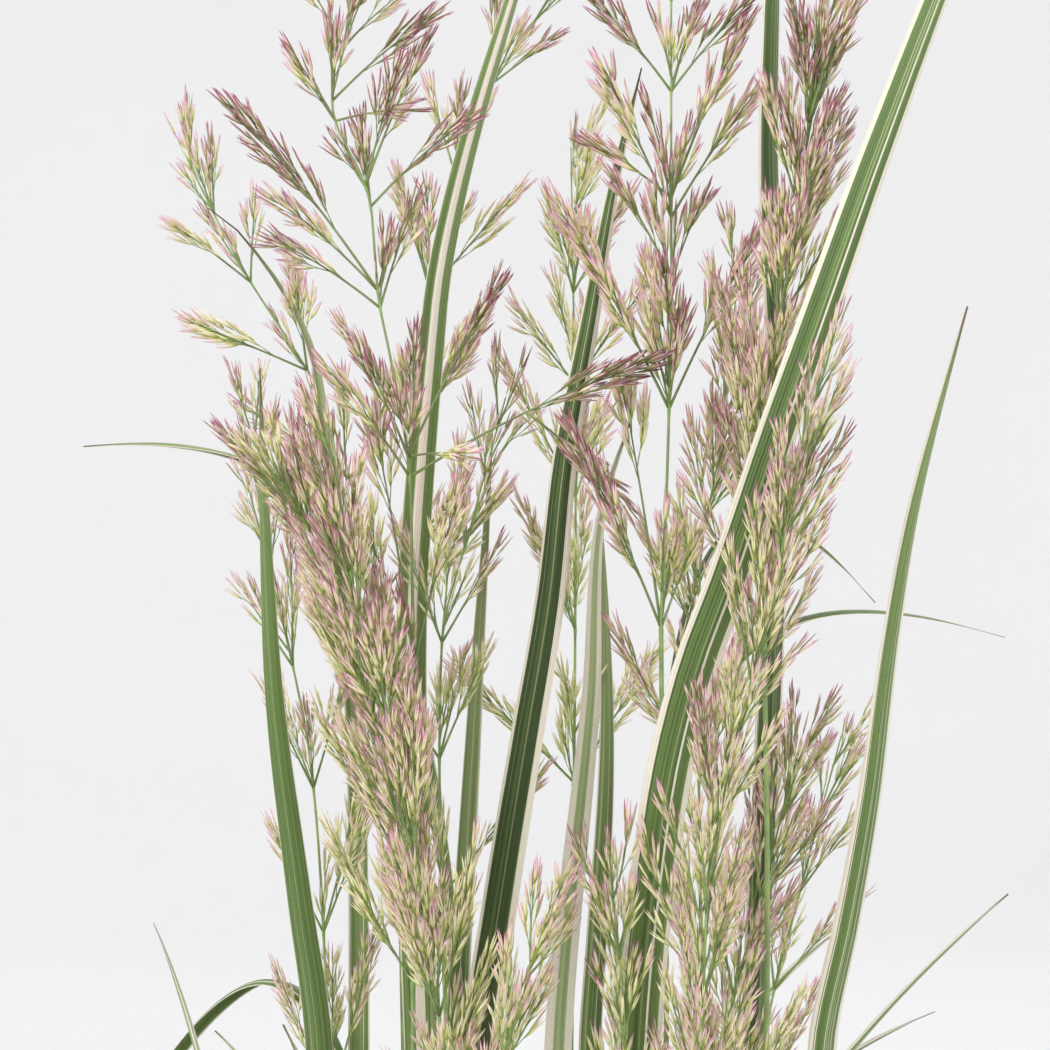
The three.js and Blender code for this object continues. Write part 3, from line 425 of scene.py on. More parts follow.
CULMS = [
    dict(foot=(-15, -3), blush=0.92, short=1, size=1,
         knots=[(480, -22, -5), (676, -26, -6), (733, -28, -6), (757, -30, -6), (792, -31, -6),
                (810, -34, -6), (825, -37, -6), (845, -39, -6), (862, -46, -6), (874, -44, -6),
                (896, -41, -6)],
         plume=dict(
             foot=753, tip=898, turn=180,
             heights=(753.5, 789.5, 793.5, 823, 826.5, 843, 847, 860, 864, 874.5, 885),
             branches=[
                 (0, (-8, 4, 45), 0.6), (0, (9, -6, 33)),
                 (1, (46, -2, 22), 0.5, (42, 6, -4)), (1, (-15, -6, 20)), (1, (1, 8, 27)),
                 (2, (17, 8, 33)), (2, (11, -12, 0)), (2, (-9, 5, 20)),
                 (3, (-19, -8, 12)), (3, (6, 7, 20)),
                 (4, (-27, -7, 34)), (4, (-20, 8, 18)),
                 (5, (18, -3, 16)), (5, (-2, 7, 16)),
                 (6, (6, -7, 20)), (6, (11, 6, 28)),
                 (7, (13, -1, 2)), (7, (-7, -3, 11)),
                 (8, (18, 3, 16)), (8, (0, -5, 12)),
                 (9, (-6, 3, 11)), (9, (9, -4, 8)), (9, (4, 5, 12)),
                 (10, (-5, -3, 9)), (10, (6, 2, 9))])),
    dict(foot=(9, -2), blush=0.72, short=2, size=1.06,
         knots=[(480, 16, -4), (676, 20, -5), (760, 19, -5), (784, 20, -5), (822, 21, -5),
                (842, 21, -5), (908, 21, -5)],
         plume=dict(
             foot=759, tip=912, turn=20,
             heights=(759.5, 803, 807, 829, 841, 845, 866, 884, 896),
             branches=[
                 (0, (-17, -5, 37), 0.2), (0, (-7, 6, 46), 0.6), (0, (7, 4, 17)),
                 (1, (-21, -4, 38), 0.2), (1, (17, 5, 33)),
                 (2, (-4, 8, 24)), (2, (-1, -8, 21)),
                 (3, (-10, -5, 17)), (3, (6, 6, 15)),
                 (4, (-13, -5, 27)), (4, (16, 4, 24)),
                 (5, (-14, 5, 10)), (5, (13, -4, 31)),
                 (6, (-14, -3, 16)), (6, (5, 7, 16)), (6, (13, -2, 15)),
                 (7, (-9, 4, 13)), (7, (9, 3, 12)), (7, (1, -6, 13)),
                 (8, (-6, -3, 10)), (8, (6, 3, 10))])),
    dict(foot=(-14, -14), blush=0.44, short=8, size=0.92, plume=ruled(650, 797, 7, 36, 20, 0.9, 200),
         knots=[(480, -20, -22), (679, -24, -24), (721, -30, -24), (746, -35, -24), (773, -42, -24),
                (797, -45, -24)]),
    dict(foot=(-23, -8), blush=0.24, short=7, size=0.95, plume=ruled(690, 793, 6, 30, 26, 0.9, 160),
         knots=[(480, -30, -9), (677, -30, -10), (706, -31, -10), (742, -38, -10), (765, -45, -10),
                (780, -51, -10), (793, -58, -10)]),
    dict(foot=(24, -14), blush=0.62, short=8, size=0.92, plume=ruled(762, 874, 6, 34, 24, 0.9, 40),
         knots=[(480, 31, -24), (680, 38, -28), (804, 38, -28), (832, 43, -28), (874, 48, -28)]),
    dict(foot=(14, -20), blush=0.52, short=8, plume=ruled(656, 808, 7, 38, 24, 0.9, 10),
         knots=[(480, 22, -36), (682, 24.9, -44), (723, 26.7, -46), (747, 32.6, -48),
                (780, 40.5, -48), (808, 46.4, -48)]),
    dict(foot=(19, -5), blush=0.4, short=5, plume=ruled(636, 738, 6, 30, 26, 0.95, 70),
         knots=[(480, 27, -12), (677, 31, -14), (707, 38, -14), (738, 46, -14)]),
    dict(foot=(-12, 26), blush=0.45, size=0.96, plume=ruled(762, 863, 6, 32, 34, 1.05, 90),
         knots=[(480, -20, 42), (666, -29, 50), (753, -39, 50), (803, -50, 50), (837, -70, 50),
                (863, -83, 50)]),
    dict(foot=(-27, 14), blush=0.4, plume=ruled(660, 804, 7, 34, 24, 0.95, 150),
         knots=[(480, -38, 24), (670, -49, 28), (731, -53, 28), (780, -63, 28), (804, -65, 28)]),
    dict(foot=(-8, 8), blush=0.35, plume=ruled(704, 806, 6, 32, 30, 1.0, 0),
         knots=[(480, -16, 12), (673, -24, 14), (756, -25, 14), (780, -19, 14), (806, -12, 14)]),
    dict(foot=(27, 13), blush=0.35, plume=ruled(628, 736, 6, 30, 28, 1.0, 110),
         knots=[(480, 36, 22), (670, 42, 26), (702, 49, 26), (736, 58, 26)]),
    dict(foot=(5, -27), blush=0.26, short=4, size=0.92, plume=ruled(600, 716, 6, 28, 22, 0.9, 30),
         knots=[(480, 10, -34), (681, 11, -34), (716, 8, -34)]),
    dict(foot=(-3, -19), blush=0.18, short=4, size=0.92, plume=ruled(600, 712, 6, 28, 24, 0.95, 100),
         knots=[(480, -9, -34), (620, -14, -38), (680, -12, -38), (712, -2, -38)]),
    dict(foot=(1, 27), blush=0.3, short=3, size=0.96, plume=ruled(724, 862, 7, 38, 34, 1.05, 60),
         knots=[(480, 0, 46), (666, 2, 52), (785, 3, 52), (862, 2, 52)]),
    dict(foot=(16, 8), blush=0.5, short=4, size=0.96, plume=ruled(694, 834, 7, 34, 28, 1.0, 140),
         knots=[(480, 24, 14), (672, 28, 16), (773, 28, 16), (795, 32, 16), (834, 36, 16)]),
    dict(foot=(-19, 21), blush=0.45, size=0.96, plume=ruled(762, 895, 6, 34, 32, 1.05, 20),
         knots=[(480, -28, 34), (743, -35, 40), (817, -30, 40), (864, -20, 40), (895, -1, 40)]),
]

# %% [markdown]
# A shoot's `top` is where its sheath ends: height, x, y. Its `placed` blades are listed one by one,
# each through the knots of a `path` or pulled over by the points of an `arc`. Such a blade has
# a `look`: the pale margins at its left and right as shares of its width, a pale band down its
# middle, how much it is striped, and its green from 0, dark, to 1. `rule` says how many blades
# follow the rule, the heights of the lowest and the highest, and the first one's heading.

# %% Leafy shoots
SHOOTS = [
    dict(foot=(-24, 5), top=(430, -29, 8), rule=(2, 250, 330, 200), placed=[
        dict(side=-86, width=7.8, turn=-10, look=(0.09, 0.19, 0, 0.2, 0.02),
             path=[(540, -28, 4), (674, -17.5, 4), (704, -13, 4), (735, -8, 4), (765, -3, 4),
                   (793, 0, 4), (821, 5, 4), (849, 10, 4), (872, 15.5, 4)])]),
    dict(foot=(8, -10), top=(400, 12, -14), rule=(2, 240, 320, 265), placed=[
        dict(side=-92, width=9.6, turn=14, look=(0.13, 0.12, 0, 0.42, 0.3),
             path=[(560, 12, -17), (679, 13.7, -22), (727, 18.3, -30), (751, 23.4, -35),
                   (771, 30.5, -37), (794, 38.1, -38), (816, 45.8, -38), (847, 56.8, -38),
                   (886, 71.7, -38), (920, 86, -38), (946, 100, -38)])]),
    dict(foot=(29, -4), top=(470, 35, -5), rule=(2, 260, 350, 330), placed=[
        dict(side=-50, width=7.6, turn=0, look=(0.05, 0.12, 0, 0.35, 0.12),
             path=[(600, 37, -6), (677, 37.5, -4), (740, 40, -6), (805, 42, -9), (850, 40, -9),
                   (883, 40.5, -9), (958, 43, -9)])]),
    dict(foot=(-33, 3), top=(400, -40, 7), rule=(2, 230, 310, 175), placed=[
        dict(side=-80, width=6.6, turn=-30, look=(0.02, 0.02, 0, 0.08, 0.3),
             path=[(540, -44, 8), (673, -50, 12), (704, -54, 12), (744, -59, 12), (779, -61, 12),
                   (812, -62, 12)])]),
    dict(foot=(-1, 17), top=(420, -3, 28), rule=(2, 250, 330, 85), placed=[
        dict(side=-90, width=6.6, turn=0, look=(0.3, 0.3, 0, 0.45, 0.85),
             path=[(540, -3, 30), (668, -1, 38), (743, 6, 38), (781, 8, 38), (804, 15, 38)])]),
    dict(foot=(-10, 17), top=(430, -18, 25), rule=(2, 260, 340, 110), placed=[
        dict(side=-90, width=7.4, turn=8, look=(0.03, 0.03, 0.34, 0.2, 0.35),
             path=[(560, -24, 27), (743, -32, 30), (825, -27, 30), (852, -22, 30), (890, -11, 30),
                   (932, 3, 30)])]),
    dict(foot=(31, -20), top=(380, 37, -25), rule=(2, 230, 300, 320), placed=[
        dict(side=-80, width=7.4, turn=20, look=(0.13, 0.12, 0, 0.6, 0.35),
             path=[(540, 42, -26), (679, 49, -24), (704, 54, -24), (727, 58, -24), (758, 62, -24),
                   (785, 67, -24), (822, 77, -24)])]),
    dict(foot=(24, 22), top=(390, 30, 34), rule=(2, 230, 310, 50), placed=[
        dict(side=150, width=5, turn=30, look=(0.02, 0.02, 0, 0.05, 0.1),
             arc=[(17, 44, 692), (8, 50, 833), (68, 52, 763)])]),
    dict(foot=(12, 19), top=(370, 17, 32), rule=(2, 220, 300, 70), placed=[
        dict(side=100, width=5.6, turn=80, look=(0.02, 0.02, 0, 0.05, 0.12),
             arc=[(16, 40, 728), (5, 42, 780), (94, 38, 756)])]),
    dict(foot=(-31, 25), top=(390, -44, 36), rule=(2, 230, 310, 140), placed=[
        dict(side=90, width=5, turn=10, look=(0.06, 0.1, 0, 0.2, 0.6),
             path=[(600, -44, 42), (720, -44, 44), (780, -48, 44), (806, -51.6, 44),
                   (816, -53.3, 44), (828, -58.5, 44), (843, -69.6, 44), (848, -76, 44)]),
        dict(side=0, width=5.6, turn=-60, look=(0.04, 0.05, 0, 0.3, 0.3),
             arc=[(-24, 40, 590), (-35, 42, 822), (-125, 40, 575)])]),
    dict(foot=(-30, -20), top=(350, -38, -28), rule=(3, 210, 300, 215), placed=[
        dict(side=200, width=4.4, turn=-30, look=(0.1, 0.08, 0, 0.4, 0.7),
             arc=[(-44, -30, 480), (-50, -33, 640), (-78, -34, 705)])]),
    dict(foot=(-12, -30), top=(320, -15, -41), rule=(4, 205, 320, 245), placed=[]),
    dict(foot=(20, -33), top=(330, 26, -46), rule=(4, 205, 330, 300), placed=[]),
    dict(foot=(36, 4), top=(340, 46, 8), rule=(4, 205, 340, 5), placed=[]),
    dict(foot=(8, 36), top=(330, 12, 52), rule=(3, 205, 330, 80), placed=[
        dict(side=-90, width=6.2, turn=0, look=(0.08, 0.06, 0, 0.3, 0.5),
             path=[(540, 5, 52), (666, 6.1, 52), (688, 7.4, 52), (725, 9.6, 52), (753, 9.6, 52),
                   (790, 8, 52)])]),
    dict(foot=(-20, 33), top=(340, -28, 50), rule=(3, 205, 340, 125), placed=[
        dict(side=140, width=6.2, turn=-40, look=(0.08, 0.06, 0, 0.3, 0.6),
             path=[(540, -28, 54), (620, -26, 54), (677, -22.5, 52), (720, -20, 50),
                   (760, -17.7, 50), (800, -15, 50)]),
        dict(side=20, width=5, turn=20, look=(0.05, 0.05, 0, 0.3, 0.45),
             arc=[(-13, 54, 730), (-16, 54, 804), (-104, 52, 797)])]),
]

# %% [markdown]
# What was listed one by one takes its room first, then the shoots' blades, the culms' blades and
# the plumes' branches, in the order in which the solids were grown.

# %% Grow the clump
HIGHEST_SHEATH = 530
BARE_STALK = 110
STALK_RADIUS = 0.75
CULM_TURN = 137  # degrees from one culm's first blade to the next culm's
LOWEST_BLADE, HIGHEST_BLADE = 170, 8  # how far below a culm's top its two blades stand


def grow_stem(key, plant, knots, end, steps):
    """Gives a plant its number and its stem, and takes room for it up to a height."""
    plant["key"], plant["stem"] = key, StemLine([(SOIL_LEVEL, *plant["foot"]), *knots])
    points = plant["stem"].at(lerp(SOIL_LEVEL, end, np.arange(steps + 1) / steps))
    radii = np.where(points[:-1, 2] < plant["top"], SHEATH_FOOT, STALK_RADIUS)
    lines = lines_along(points, radii)
    lines[:, 7] = 1
    room.take(key, lines)


for key, culm in enumerate(CULMS):
    culm["top"] = min(culm["plume"]["foot"] - BARE_STALK, HIGHEST_SHEATH)
    grow_stem(key, culm, culm["knots"], culm["plume"]["tip"], 24)

for key, shoot in enumerate(SHOOTS, len(CULMS)):
    knots, shoot["top"] = [shoot["top"]], shoot["top"][0]
    grow_stem(key, shoot, knots, shoot["top"] + 3, 6)
    placed = [placed_blade(key, shoot["stem"], shoot["top"], **blade) for blade in shoot["placed"]]
    shoot["blades"] = placed

for culm in CULMS:
    if "branches" in culm["plume"]:
        culm["branches"] = placed_branches(culm["key"], culm["stem"], culm["plume"])

for shoot in SHOOTS:
    shoot["blades"] += ruled_blades(shoot["key"], shoot["stem"], *shoot["rule"], **SHOOT_BLADE)
for culm in CULMS:
    top = culm["top"]
    rule = (2, top - LOWEST_BLADE, top - HIGHEST_BLADE, culm["key"] * CULM_TURN)
    culm["blades"] = ruled_blades(culm["key"], culm["stem"], *rule, **CULM_BLADE)
for culm in CULMS:
    if "branches" not in culm:
        culm["branches"] = ruled_branches(culm["key"], culm["stem"], culm["plume"])

print("blades", sum(len(plant["blades"]) for plant in CULMS + SHOOTS),
      "branches", sum(len(culm["branches"]) for culm in CULMS), "room", room.taken.shape)

# %% [markdown]
# ## Shapes that repeat
#
# The plant has thousands of spikelets, a few hundred twigs and some eighty blades, but only
# three kinds of shape. Each kind is modelled once, straight and at unit size, and every copy
# is then bent along its own line. Extruding a small outline ring by ring is the quickest way
# to a slender closed shape, because it never leaves a hole to mend.

# %% Tools for modelling a shape once
def start_edit(add, **settings):
    """Adds a shape by itself, and opens it in edit mode with all of it selected."""
    bpy.ops.object.select_all(action="DESELECT")
    add(**settings)
    bpy.ops.object.mode_set(mode="EDIT")
    bpy.ops.mesh.select_all(action="SELECT")


def start_outline(sides, radius):
    start_edit(bpy.ops.mesh.primitive_circle_add, vertices=sides, radius=radius, fill_type="NGON")


def draw_out(step, share=1, centre=(0, 0, 0)):
    """Extrudes the selected end by a step, and resizes it by a share about its new centre."""
    bpy.ops.mesh.extrude_region_move(TRANSFORM_OT_translate={"value": step})
    if share != 1:
        bpy.ops.transform.resize(value=(share, share, 1), center_override=centre)


def take_shape():
    """Ends edit mode. Gives back the shape as points and triangles, and removes the object."""
    bpy.ops.mesh.select_all(action="SELECT")
    bpy.ops.mesh.normals_make_consistent(inside=False)
    bpy.ops.mesh.quads_convert_to_tris(quad_method="BEAUTY", ngon_method="BEAUTY")
    bpy.ops.object.mode_set(mode="OBJECT")
    shape = bpy.context.object
    points = np.array([v.co for v in shape.data.vertices], float)
    faces = np.array([p.vertices for p in shape.data.polygons], int)
    bpy.data.objects.remove(shape)
    return points, faces


# %% [markdown]
# ### A spikelet
#
# A spikelet of this grass is a pair of narrow keeled bracts, five or six millimetres long,
# on a hair-thin stalk. They part a little at their tips. Each bract is a three-sided boat
# drawn out in three steps, with its keel on the outside. The second is a copy of the first,
# turned to face it.

# %% Model one spikelet, 1 long
BRACT_RINGS = [  # height, half width, and how far the bract leans out
    (0.26, 0.050, 0.022),
    (0.60, 0.038, 0.026),
]
BRACT_FOOT = 0.016
BRACT_TIP_LEAN = 0.008
INNER_BRACT = (-0.86, -0.86, 0.9)  # the second bract's size, and half a turn
INNER_RISE = 0.05
PEDICEL = 0.2
PEDICEL_RADIUS = 0.013
RIM_FROM = 0.022  # bract points wider than this lie on its papery rims


def model_bract():
    start_outline(3, BRACT_FOOT)
    height, width, lean = 0, BRACT_FOOT, 0
    for to_height, to_width, to_lean in BRACT_RINGS:
        step = (0, to_lean - lean, to_height - height)
        draw_out(step, to_width / width, (0, to_lean, to_height))
        height, width, lean = to_height, to_width, to_lean
    draw_out((0, BRACT_TIP_LEAN - lean, 1 - height))
    bpy.ops.mesh.merge(type="CENTER")


model_bract()
bract_points, bract_faces = take_shape()
start_outline(3, PEDICEL_RADIUS)
draw_out((0, 0, PEDICEL + INNER_RISE))
pedicel_points, pedicel_faces = take_shape()

inner_points = bract_points * INNER_BRACT + (0, 0, INNER_RISE)
spikelet_points = np.vstack([bract_points, inner_points, pedicel_points - (0, 0, PEDICEL)])
spikelet_faces = np.vstack([
    bract_faces,
    bract_faces + len(bract_points),
    pedicel_faces + 2 * len(bract_points)])
spikelet_along = np.clip(spikelet_points[:, 2], 0, 1)
spikelet_rim = (np.abs(spikelet_points[:, 0]) > RIM_FROM).astype(float)
side = np.repeat([1, -1, 0], [len(bract_points), len(inner_points), len(pedicel_points)])
spikelet_parting = side * spikelet_along ** 1.6
print("a spikelet has", len(spikelet_faces), "triangles")

# %% [markdown]
# ### Rods and blades
#
# A twig, a stalk and a sheathed stem are all rods: an outline with a few sides, extruded once
# for each ring. A blade is a grid given a thickness by the Solidify modifier. Both are kept at
# unit size, so that bending a copy is only a matter of reading its height as a place along a
# line.

# %% Model rods and blades at unit size
shapes = {}


def rod_shape(sides, rings):
    """A rod of radius 1 with a ring at each whole height, from 0 to `rings`."""
    if ("rod", sides, rings) not in shapes:
        start_outline(sides, 1)
        for _ in range(rings):
            draw_out((0, 0, 1))
        shapes["rod", sides, rings] = take_shape()
    return shapes["rod", sides, rings]


def blade_shape(columns, rows):
    """A blade from -1 to 1 across, 0 to 1 along, and 0 to -1 through."""
    if ("blade", columns, rows) not in shapes:
        bpy.ops.object.select_all(action="DESELECT")
        bpy.ops.mesh.primitive_grid_add(x_subdivisions=columns, y_subdivisions=rows, size=1)
        slab = bpy.context.object.modifiers.new("thickness", "SOLIDIFY")
        slab.thickness, slab.offset = 1, -1
        bpy.ops.object.modifier_apply(modifier=slab.name)
        bpy.ops.object.mode_set(mode="EDIT")
        points, faces = take_shape()
        shapes["blade", columns, rows] = (points * (2, 1, 1) + (0, 0.5, 0), faces)
    return shapes["blade", columns, rows]


def bend_rod(sides, points, radii):
    """A rod through some points, with a radius at each. Gives its points and triangles, and
    how far round it each point is and at which of the rod's rings."""
    points = np.asarray(points, float)
    shape, faces = rod_shape(sides, len(points) - 1)
    ring = np.rint(shape[:, 2]).astype(int)
    along = unit(np.gradient(points, axis=0))
    chord = points[-1] - points[0]
    side = np.eye(3)[np.argmin(np.abs(chord))]
    across = across_from(side, along)
    up = np.cross(along, across)
    radii = np.broadcast_to(radii, len(points))[ring][:, None]
    place = points[ring] + (across[ring] * shape[:, :1] + up[ring] * shape[:, 1:2]) * radii
    angle = np.arctan2(shape[:, 1], shape[:, 0]) / math.pi
    return place, faces, np.abs(angle), ring


# %% [markdown]
# A blade clasps its stem at the foot: there its cross-section is half a ring, which opens
# within two centimetres into a shallow V with the keel underneath. Its edges wave a little.

# %% Bend a blade along its line
BLADE_THICKNESS = 0.24
RIB = 0.16
CLASP = 20
CLASP_ANGLE = 82


def ease(value, low, high):
    t = np.clip((value - low) / (high - low), 0, 1)
    return t * t * (3 - 2 * t)


def bend_blade(blade, columns, rows):
    """A blade's points and triangles, and how far across and along it each point is."""
    shape, faces = blade_shape(columns, rows)
    t = np.clip(shape[:, 1], 0, 1)
    u = shape[:, 0]
    along, across, under = blade_axes(blade, t)
    half = np.maximum(blade["width"] * blade_share(np.minimum(t, 0.995)) / 2, 0.06)
    keel = np.minimum(BLADE_KEEL, 0.2 + half * 0.4) * (1 - ease(t, 0.93, 1) * 0.8)
    wave = between(0.1, 0.35, *blade["key"], 31) * np.sin(
        t * between(16, 30, *blade["key"], 32) + 6 * chance(*blade["key"], 33))
    edge = np.abs(u)
    flat_down = keel * (1 - edge ** 1.4) + wave * edge ** 3 * ease(t, 0.1, 0.3)

    opening = ease(t * blade["line"].length(), 1, CLASP)
    radius = SHEATH_FOOT + 0.35
    angle = u * math.radians(CLASP_ANGLE)
    out = lerp(np.sin(angle) * radius, u * half, opening)
    down = lerp((np.cos(angle) - 1) * radius - 0.5, flat_down, opening)

    rib = RIB * np.exp(-(u / 0.11) ** 2) * (1 - t)
    thickness = BLADE_THICKNESS * (1 - 0.55 * u**4) * (1 - 0.4 * t) + rib
    down = down - shape[:, 2] * thickness
    place = blade["line"].point(t) + across * out[:, None] + under * down[:, None]
    return place, faces, (u + 1) / 2, t


# %% [markdown]
# A piece gathers its copies into one mesh. With each copy come the marks that its finish will
# read: how far across and along the surface a point is, and what is particular to this copy.
# A mark is a mesh attribute, so it moves with the piece and needs no unwrapping.

# %% Gather copies into one piece
def settle(piece, replaced, smooth_angle=180):
    """Smooths a piece, but for edges sharper than an angle, and sets it on the frame."""
    bpy.ops.object.select_all(action="DESELECT")
    piece.select_set(True)
    bpy.context.view_layer.objects.active = piece
    if smooth_angle < 180:
        bpy.ops.object.shade_smooth_by_angle(angle=math.radians(smooth_angle))
    else:
        bpy.ops.object.shade_smooth()
    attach(piece, "root")
    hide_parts(replaced)


class Piece:
    def __init__(self, name):
        self.name, self.count = name, 0
        self.points, self.faces, self.finish, self.marks = [], [], [], []

    def add(self, points, faces, finish, **marks):
        self.points.append(points)
        self.faces.append(np.asarray(faces) + self.count)
        self.finish.append(np.full(len(faces), finish))
        self.marks.append({name: np.broadcast_to(mark, len(points)) for name, mark in marks.items()})
        self.count += len(points)

    def make(self, finishes):
        """One new object of all the copies, with their marks as point attributes."""
        faces = np.vstack(self.faces).astype(np.int32)
        mesh = bpy.data.meshes.new(self.name)
        mesh.vertices.add(self.count)
        mesh.vertices.foreach_set("co", (np.vstack(self.points) * MM).astype(np.float32).ravel())
        mesh.loops.add(faces.size)
        mesh.loops.foreach_set("vertex_index", faces.ravel())
        mesh.polygons.add(len(faces))
        mesh.polygons.foreach_set("loop_start", np.arange(0, faces.size, 3, dtype=np.int32))
        for finish in finishes:
            mesh.materials.append(finish)
        mesh.polygons.foreach_set("material_index", np.concatenate(self.finish).astype(np.int32))
        for name in sorted(set().union(*self.marks)):
            unmarked = [np.zeros(len(points)) for points in self.points]
            rows = [marks.get(name, zeros) for marks, zeros in zip(self.marks, unmarked)]
            attribute = mesh.attributes.new(name, "FLOAT", "POINT")
            attribute.data.foreach_set("value", np.concatenate(rows).astype(np.float32))
        mesh.update(calc_edges=True)
        piece = bpy.data.objects.new(self.name, mesh)
        bpy.context.scene.collection.objects.link(piece)
        return piece


# %% [markdown]
# ## Finishes
#
# Most of what the eye reads as grass is colour: pale margins beside dark green, purple tips on
# straw-coloured bracts, a bright knot where branches part. All of it is worked out from the
# marks or from the place on the object, so it stays put from every side.
#
# Two effects serve several finishes and are made once, as node groups. "Parallel veins" gives
# the fine ribs of a grass and the uneven streaks between them. "Mottle" gives soft patches.

# %% Tools for finishes
def paint(code):
    """A colour written as in a paint chart, #rrggbb, in Blender's linear values."""
    parts = [int(code[i:i + 2], 16) / 255 for i in (1, 3, 5)]
    return (*[c / 12.92 if c <= 0.04045 else ((c + 0.055) / 1.055) ** 2.4 for c in parts], 1)


class Net:
    """Writes a node network one call a node. Each call gives back the node's output."""

    def __init__(self, tree):
        self.tree = tree

    def node(self, kind, *inputs, output=0, **settings):
        node = self.tree.nodes.new(kind)
        for setting, value in settings.items():
            setattr(node, setting, value)
        for socket, value in enumerate(inputs):
            self.feed(node.inputs[socket], value)
        return node.outputs[output]

    def feed(self, socket, value):
        """Gives a socket another node's output, a number or a colour."""
        if isinstance(value, bpy.types.NodeSocket):
            self.tree.links.new(value, socket)
        elif value is not None:
            socket.default_value = paint(value) if isinstance(value, str) else value

    def math(self, operation, *values):
        return self.node("ShaderNodeMath", *values, operation=operation)

    def plus(self, first, second):
        return self.math("ADD", first, second)

    def minus(self, first, second):
        return self.math("SUBTRACT", first, second)

    def times(self, first, second):
        return self.math("MULTIPLY", first, second)

    def scale(self, value, by, start):
        return self.math("MULTIPLY_ADD", value, by, start)

    def mark(self, name):
        return self.node("ShaderNodeAttribute", attribute_name=name, output=2)

    def here(self):
        return self.node("ShaderNodeTexCoord", output=3)

    def distance(self):
        return self.node("ShaderNodeVectorMath", self.here(), operation="LENGTH", output=1)

    def vector(self, x, y, z):
        return self.node("ShaderNodeCombineXYZ", x, y, z)

    def noise(self, vector, scale, detail=2.0):
        return self.node("ShaderNodeTexNoise", vector, None, scale, detail)

    def ease(self, value, low, high):
        return self.node("ShaderNodeMapRange", value, low, high, 0.0, 1.0,
                         interpolation_type="SMOOTHSTEP")

    def mix(self, share, first, second):
        node = self.tree.nodes.new("ShaderNodeMix")
        node.data_type = "RGBA"
        for socket, value in zip((0, 6, 7), (share, first, second)):
            self.feed(node.inputs[socket], value)
        return node.outputs[2]

    def ramp(self, share, *stops):
        node = self.tree.nodes.new("ShaderNodeValToRGB")
        while len(node.color_ramp.elements) < len(stops):
            node.color_ramp.elements.new(0.5)
        for element, (position, colour) in zip(node.color_ramp.elements, stops):
            element.position, element.color = position, paint(colour)
        self.feed(node.inputs[0], share)
        return node.outputs[0]

    def group(self, tree, **inputs):
        node = self.tree.nodes.new("ShaderNodeGroup")
        node.node_tree = tree
        for name, value in inputs.items():
            self.feed(node.inputs[name], value)
        return node.outputs


def new_group(name, inputs, outputs):
    """An empty node group: itself, its network, its inputs and its outputs."""
    tree = bpy.data.node_groups.new(name, "ShaderNodeTree")
    for way, labels in (("INPUT", inputs), ("OUTPUT", outputs)):
        for label in labels:
            kind = "NodeSocketVector" if label == "Place" else "NodeSocketFloat"
            tree.interface.new_socket(name=label, in_out=way, socket_type=kind)
    source = tree.nodes.new("NodeGroupInput").outputs
    return tree, Net(tree), source, tree.nodes.new("NodeGroupOutput").inputs


def new_finish(name):
    """An empty finish: its network, and a function that gives the shader its values."""
    material = bpy.data.materials.new(name)
    material.use_nodes = True
    net = Net(material.node_tree)
    shader = material.node_tree.nodes["Principled BSDF"]

    def finish(relief=None, relief_depth=0.0, **values):
        for socket, value in values.items():
            net.feed(shader.inputs[socket.replace("_", " ")], value)
        if relief is not None:
            bump = material.node_tree.nodes.new("ShaderNodeBump")
            bump.inputs["Distance"].default_value = relief_depth
            net.feed(bump.inputs["Height"], relief)
            net.feed(shader.inputs["Normal"], bump.outputs[0])
        return material

    return net, finish


veins, net, source, result = new_group(
    "Parallel veins", ("Across", "Along", "Count", "Seed"), ("Rib", "Streak"))
turns = net.times(net.times(source["Across"], source["Count"]), 2 * math.pi)
net.feed(result["Rib"], net.scale(net.math("SINE", turns), 0.5, 0.5))
streak_place = net.vector(
    net.times(net.times(source["Across"], source["Count"]), 0.7),
    net.times(source["Along"], 3.0), source["Seed"])
net.feed(result["Streak"], net.ease(net.noise(streak_place, 1.0, 3.0), 0.3, 0.7))

mottle, net, source, result = new_group("Mottle", ("Place", "Scale", "Spread"), ("Value",))
patches = net.noise(source["Place"], source["Scale"], 5.0)
half_spread = net.times(source["Spread"], 0.5)
low, high = net.minus(0.5, half_spread), net.plus(0.5, half_spread)
net.feed(result["Value"], net.ease(patches, low, high))


def veined(net, across, along, count, seed):
    """The rib and the streak of parallel veins, both from 0 to 1."""
    return net.group(veins, Across=across, Along=along, Count=count, Seed=seed)[:]


def mottled(net, place, scale, spread):
    """Soft patches from 0 to 1."""
    return net.group(mottle, Place=place, Scale=scale, Spread=spread)[0]


print("node groups", veins.name, "and", mottle.name)

# %% [markdown]
# ### The blades' finish
#
# A variegated blade has a green middle with cream margins, and cream lines between some of its
# ribs. A line runs the whole length and wanders only a little. Margins flush pink where the sun
# reaches them, and the last few millimetres of a blade dry to a purplish brown.

# %% Finish the blades
GREEN_DARK, GREEN_MID, GREEN_PALE = "#32461a", "#6a8445", "#abb988"
CREAM, ROSE, DRY = "#f0ecdc", "#dfc3c0", "#8f7355"
SOFT_EDGE = 0.012  # half of how soft a margin's edge is, as a share of the blade's width

net, finish = new_finish("variegated blade")
across, along, seed = map(net.mark, ("across", "along", "seed"))
rib, streak = veined(net, across, along, 13.0, seed)
wander = net.scale(net.noise(net.vector(0.0, net.times(along, 9.0), seed), 1.0), 0.08, -0.04)
place = net.plus(across, wander)
opposite = net.minus(1.0, place)


def band(distance, width):
    """1 nearer than a width, 0 beyond it, with a soft line between them."""
    return net.ease(net.minus(width, distance), -SOFT_EDGE, SOFT_EDGE)


